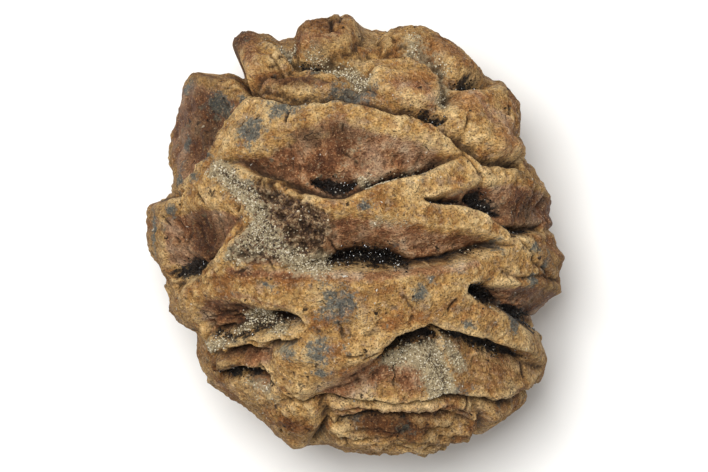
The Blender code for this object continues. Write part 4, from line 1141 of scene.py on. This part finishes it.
# Crumbs of the rusty fill: broken bits of stone, bark-brown and tan, all matt
crumbPiece = {"Density": 8.0e6, "Smallest": 0.00008, "Largest": 0.00028, "Seed": 22}
crumbTones = [(0.0, "#3A281B"), (0.25, "#6B5038"), (0.48, "#8F7656"), (0.68, "#4A3325"), (0.95, "#D2C5AA")]
crumbMaterial = makeGrainMaterial("ironSandCrumbs", crumbTones, 0.8, 1.54)
crumbs = scatter("fillCrumbs", crumbPiece, makeScatterTree("crumbScatter", "fill", False, crumbMaterial))

# Drusy quartz over manganese oxide: tiny smoky six-sided points, so the slits are black with sharp glints
drusePiece = {"Density": 2.0e7, "Smallest": 0.0001, "Largest": 0.00022, "Seed": 23}
druseTones = [(0.0, "#0A0808"), (0.4, "#1B1512"), (0.75, "#33291F"), (0.9, "#5A4C3B"), (0.97, "#B5AD9F")]
druseMaterial = makeGrainMaterial("smokyDrusyQuartz", druseTones, 0.12, 1.54)
druse = scatter("slitCrystals", drusePiece, makeScatterTree("druseScatter", "slit", True, druseMaterial))

for piece in (cone, sand, crumbs, druse):
    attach(piece, "root")
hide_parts("fossil_cone")

# Studio: a white table, a softbox past the cone's tip, and even white all round
studioSetup = {
    "floorHalf": 0.8,
    "floorColour": "#F4F3F0",
    "softboxPlace": (-0.14, 0.18, 0.9),
    "softboxSize": 0.4,
    "softboxWatts": 9.5,
    "roomLight": 0.36,
    "cameraHeight": 0.6,
    "mmPerPixel": 0.0865,
    "pictureSize": (708, 472),
    "conePixel": (355.0, 236.5),  # where the cone's middle stands in the picture
}


def makeStudio():
    s = studioSetup
    half = s["floorHalf"]
    floorMesh = bpy.data.meshes.new("studioFloor")
    corners = [(-half, -half, 0), (half, -half, 0), (half, half, 0), (-half, half, 0)]
    floorMesh.from_pydata(corners, [], [(0, 1, 2, 3)])
    floor = bpy.data.objects.new("studioFloor", floorMesh)
    bpy.context.scene.collection.objects.link(floor)
    paper = bpy.data.materials.new("mattWhiteCard")
    paper.use_nodes = True
    card = {"Base Color": toLinear(s["floorColour"]), "Roughness": 0.9, "Specular IOR Level": 0.1}
    for name, value in card.items():
        paper.node_tree.nodes["Principled BSDF"].inputs[name].default_value = value
    floorMesh.materials.append(paper)
    floor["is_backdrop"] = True

    lamp = bpy.data.lights.new("softbox", "AREA")
    lamp.size = s["softboxSize"]
    lamp.energy = s["softboxWatts"]
    softbox = bpy.data.objects.new("softbox", lamp)
    softbox.location = s["softboxPlace"]
    softbox.rotation_euler = Vector(s["softboxPlace"]).to_track_quat("Z", "Y").to_euler()
    bpy.context.scene.collection.objects.link(softbox)
    room = bpy.data.worlds.new("whiteRoom")
    room.use_nodes = True
    for name, value in (("Color", (1, 1, 1, 1)), ("Strength", s["roomLight"])):
        room.node_tree.nodes["Background"].inputs[name].default_value = value
    bpy.context.scene.world = room

    pixel = s["mmPerPixel"] * mm
    eye = bpy.data.cameras.new("photoCamera")
    eye.sensor_width = 36.0
    eye.lens = 36.0 * s["cameraHeight"] / (s["pictureSize"][0] * pixel)
    eye.clip_start = 0.01
    camera = bpy.data.objects.new("photoCamera", eye)
    camera.location = (
        (s["pictureSize"][0] / 2 - s["conePixel"][0]) * pixel,
        (s["conePixel"][1] - s["pictureSize"][1] / 2) * pixel,
        conePiece["restingDepth"] * mm + s["cameraHeight"],
    )
    bpy.context.scene.collection.objects.link(camera)
    bpy.context.scene.camera = camera
    bpy.context.scene.view_settings.view_transform = "Standard"


makeStudio()
print("studio done")

boxes = {"cad": cadBox, "visual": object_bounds()}
{name: [list(corner) for corner in box] for name, box in boxes.items()}
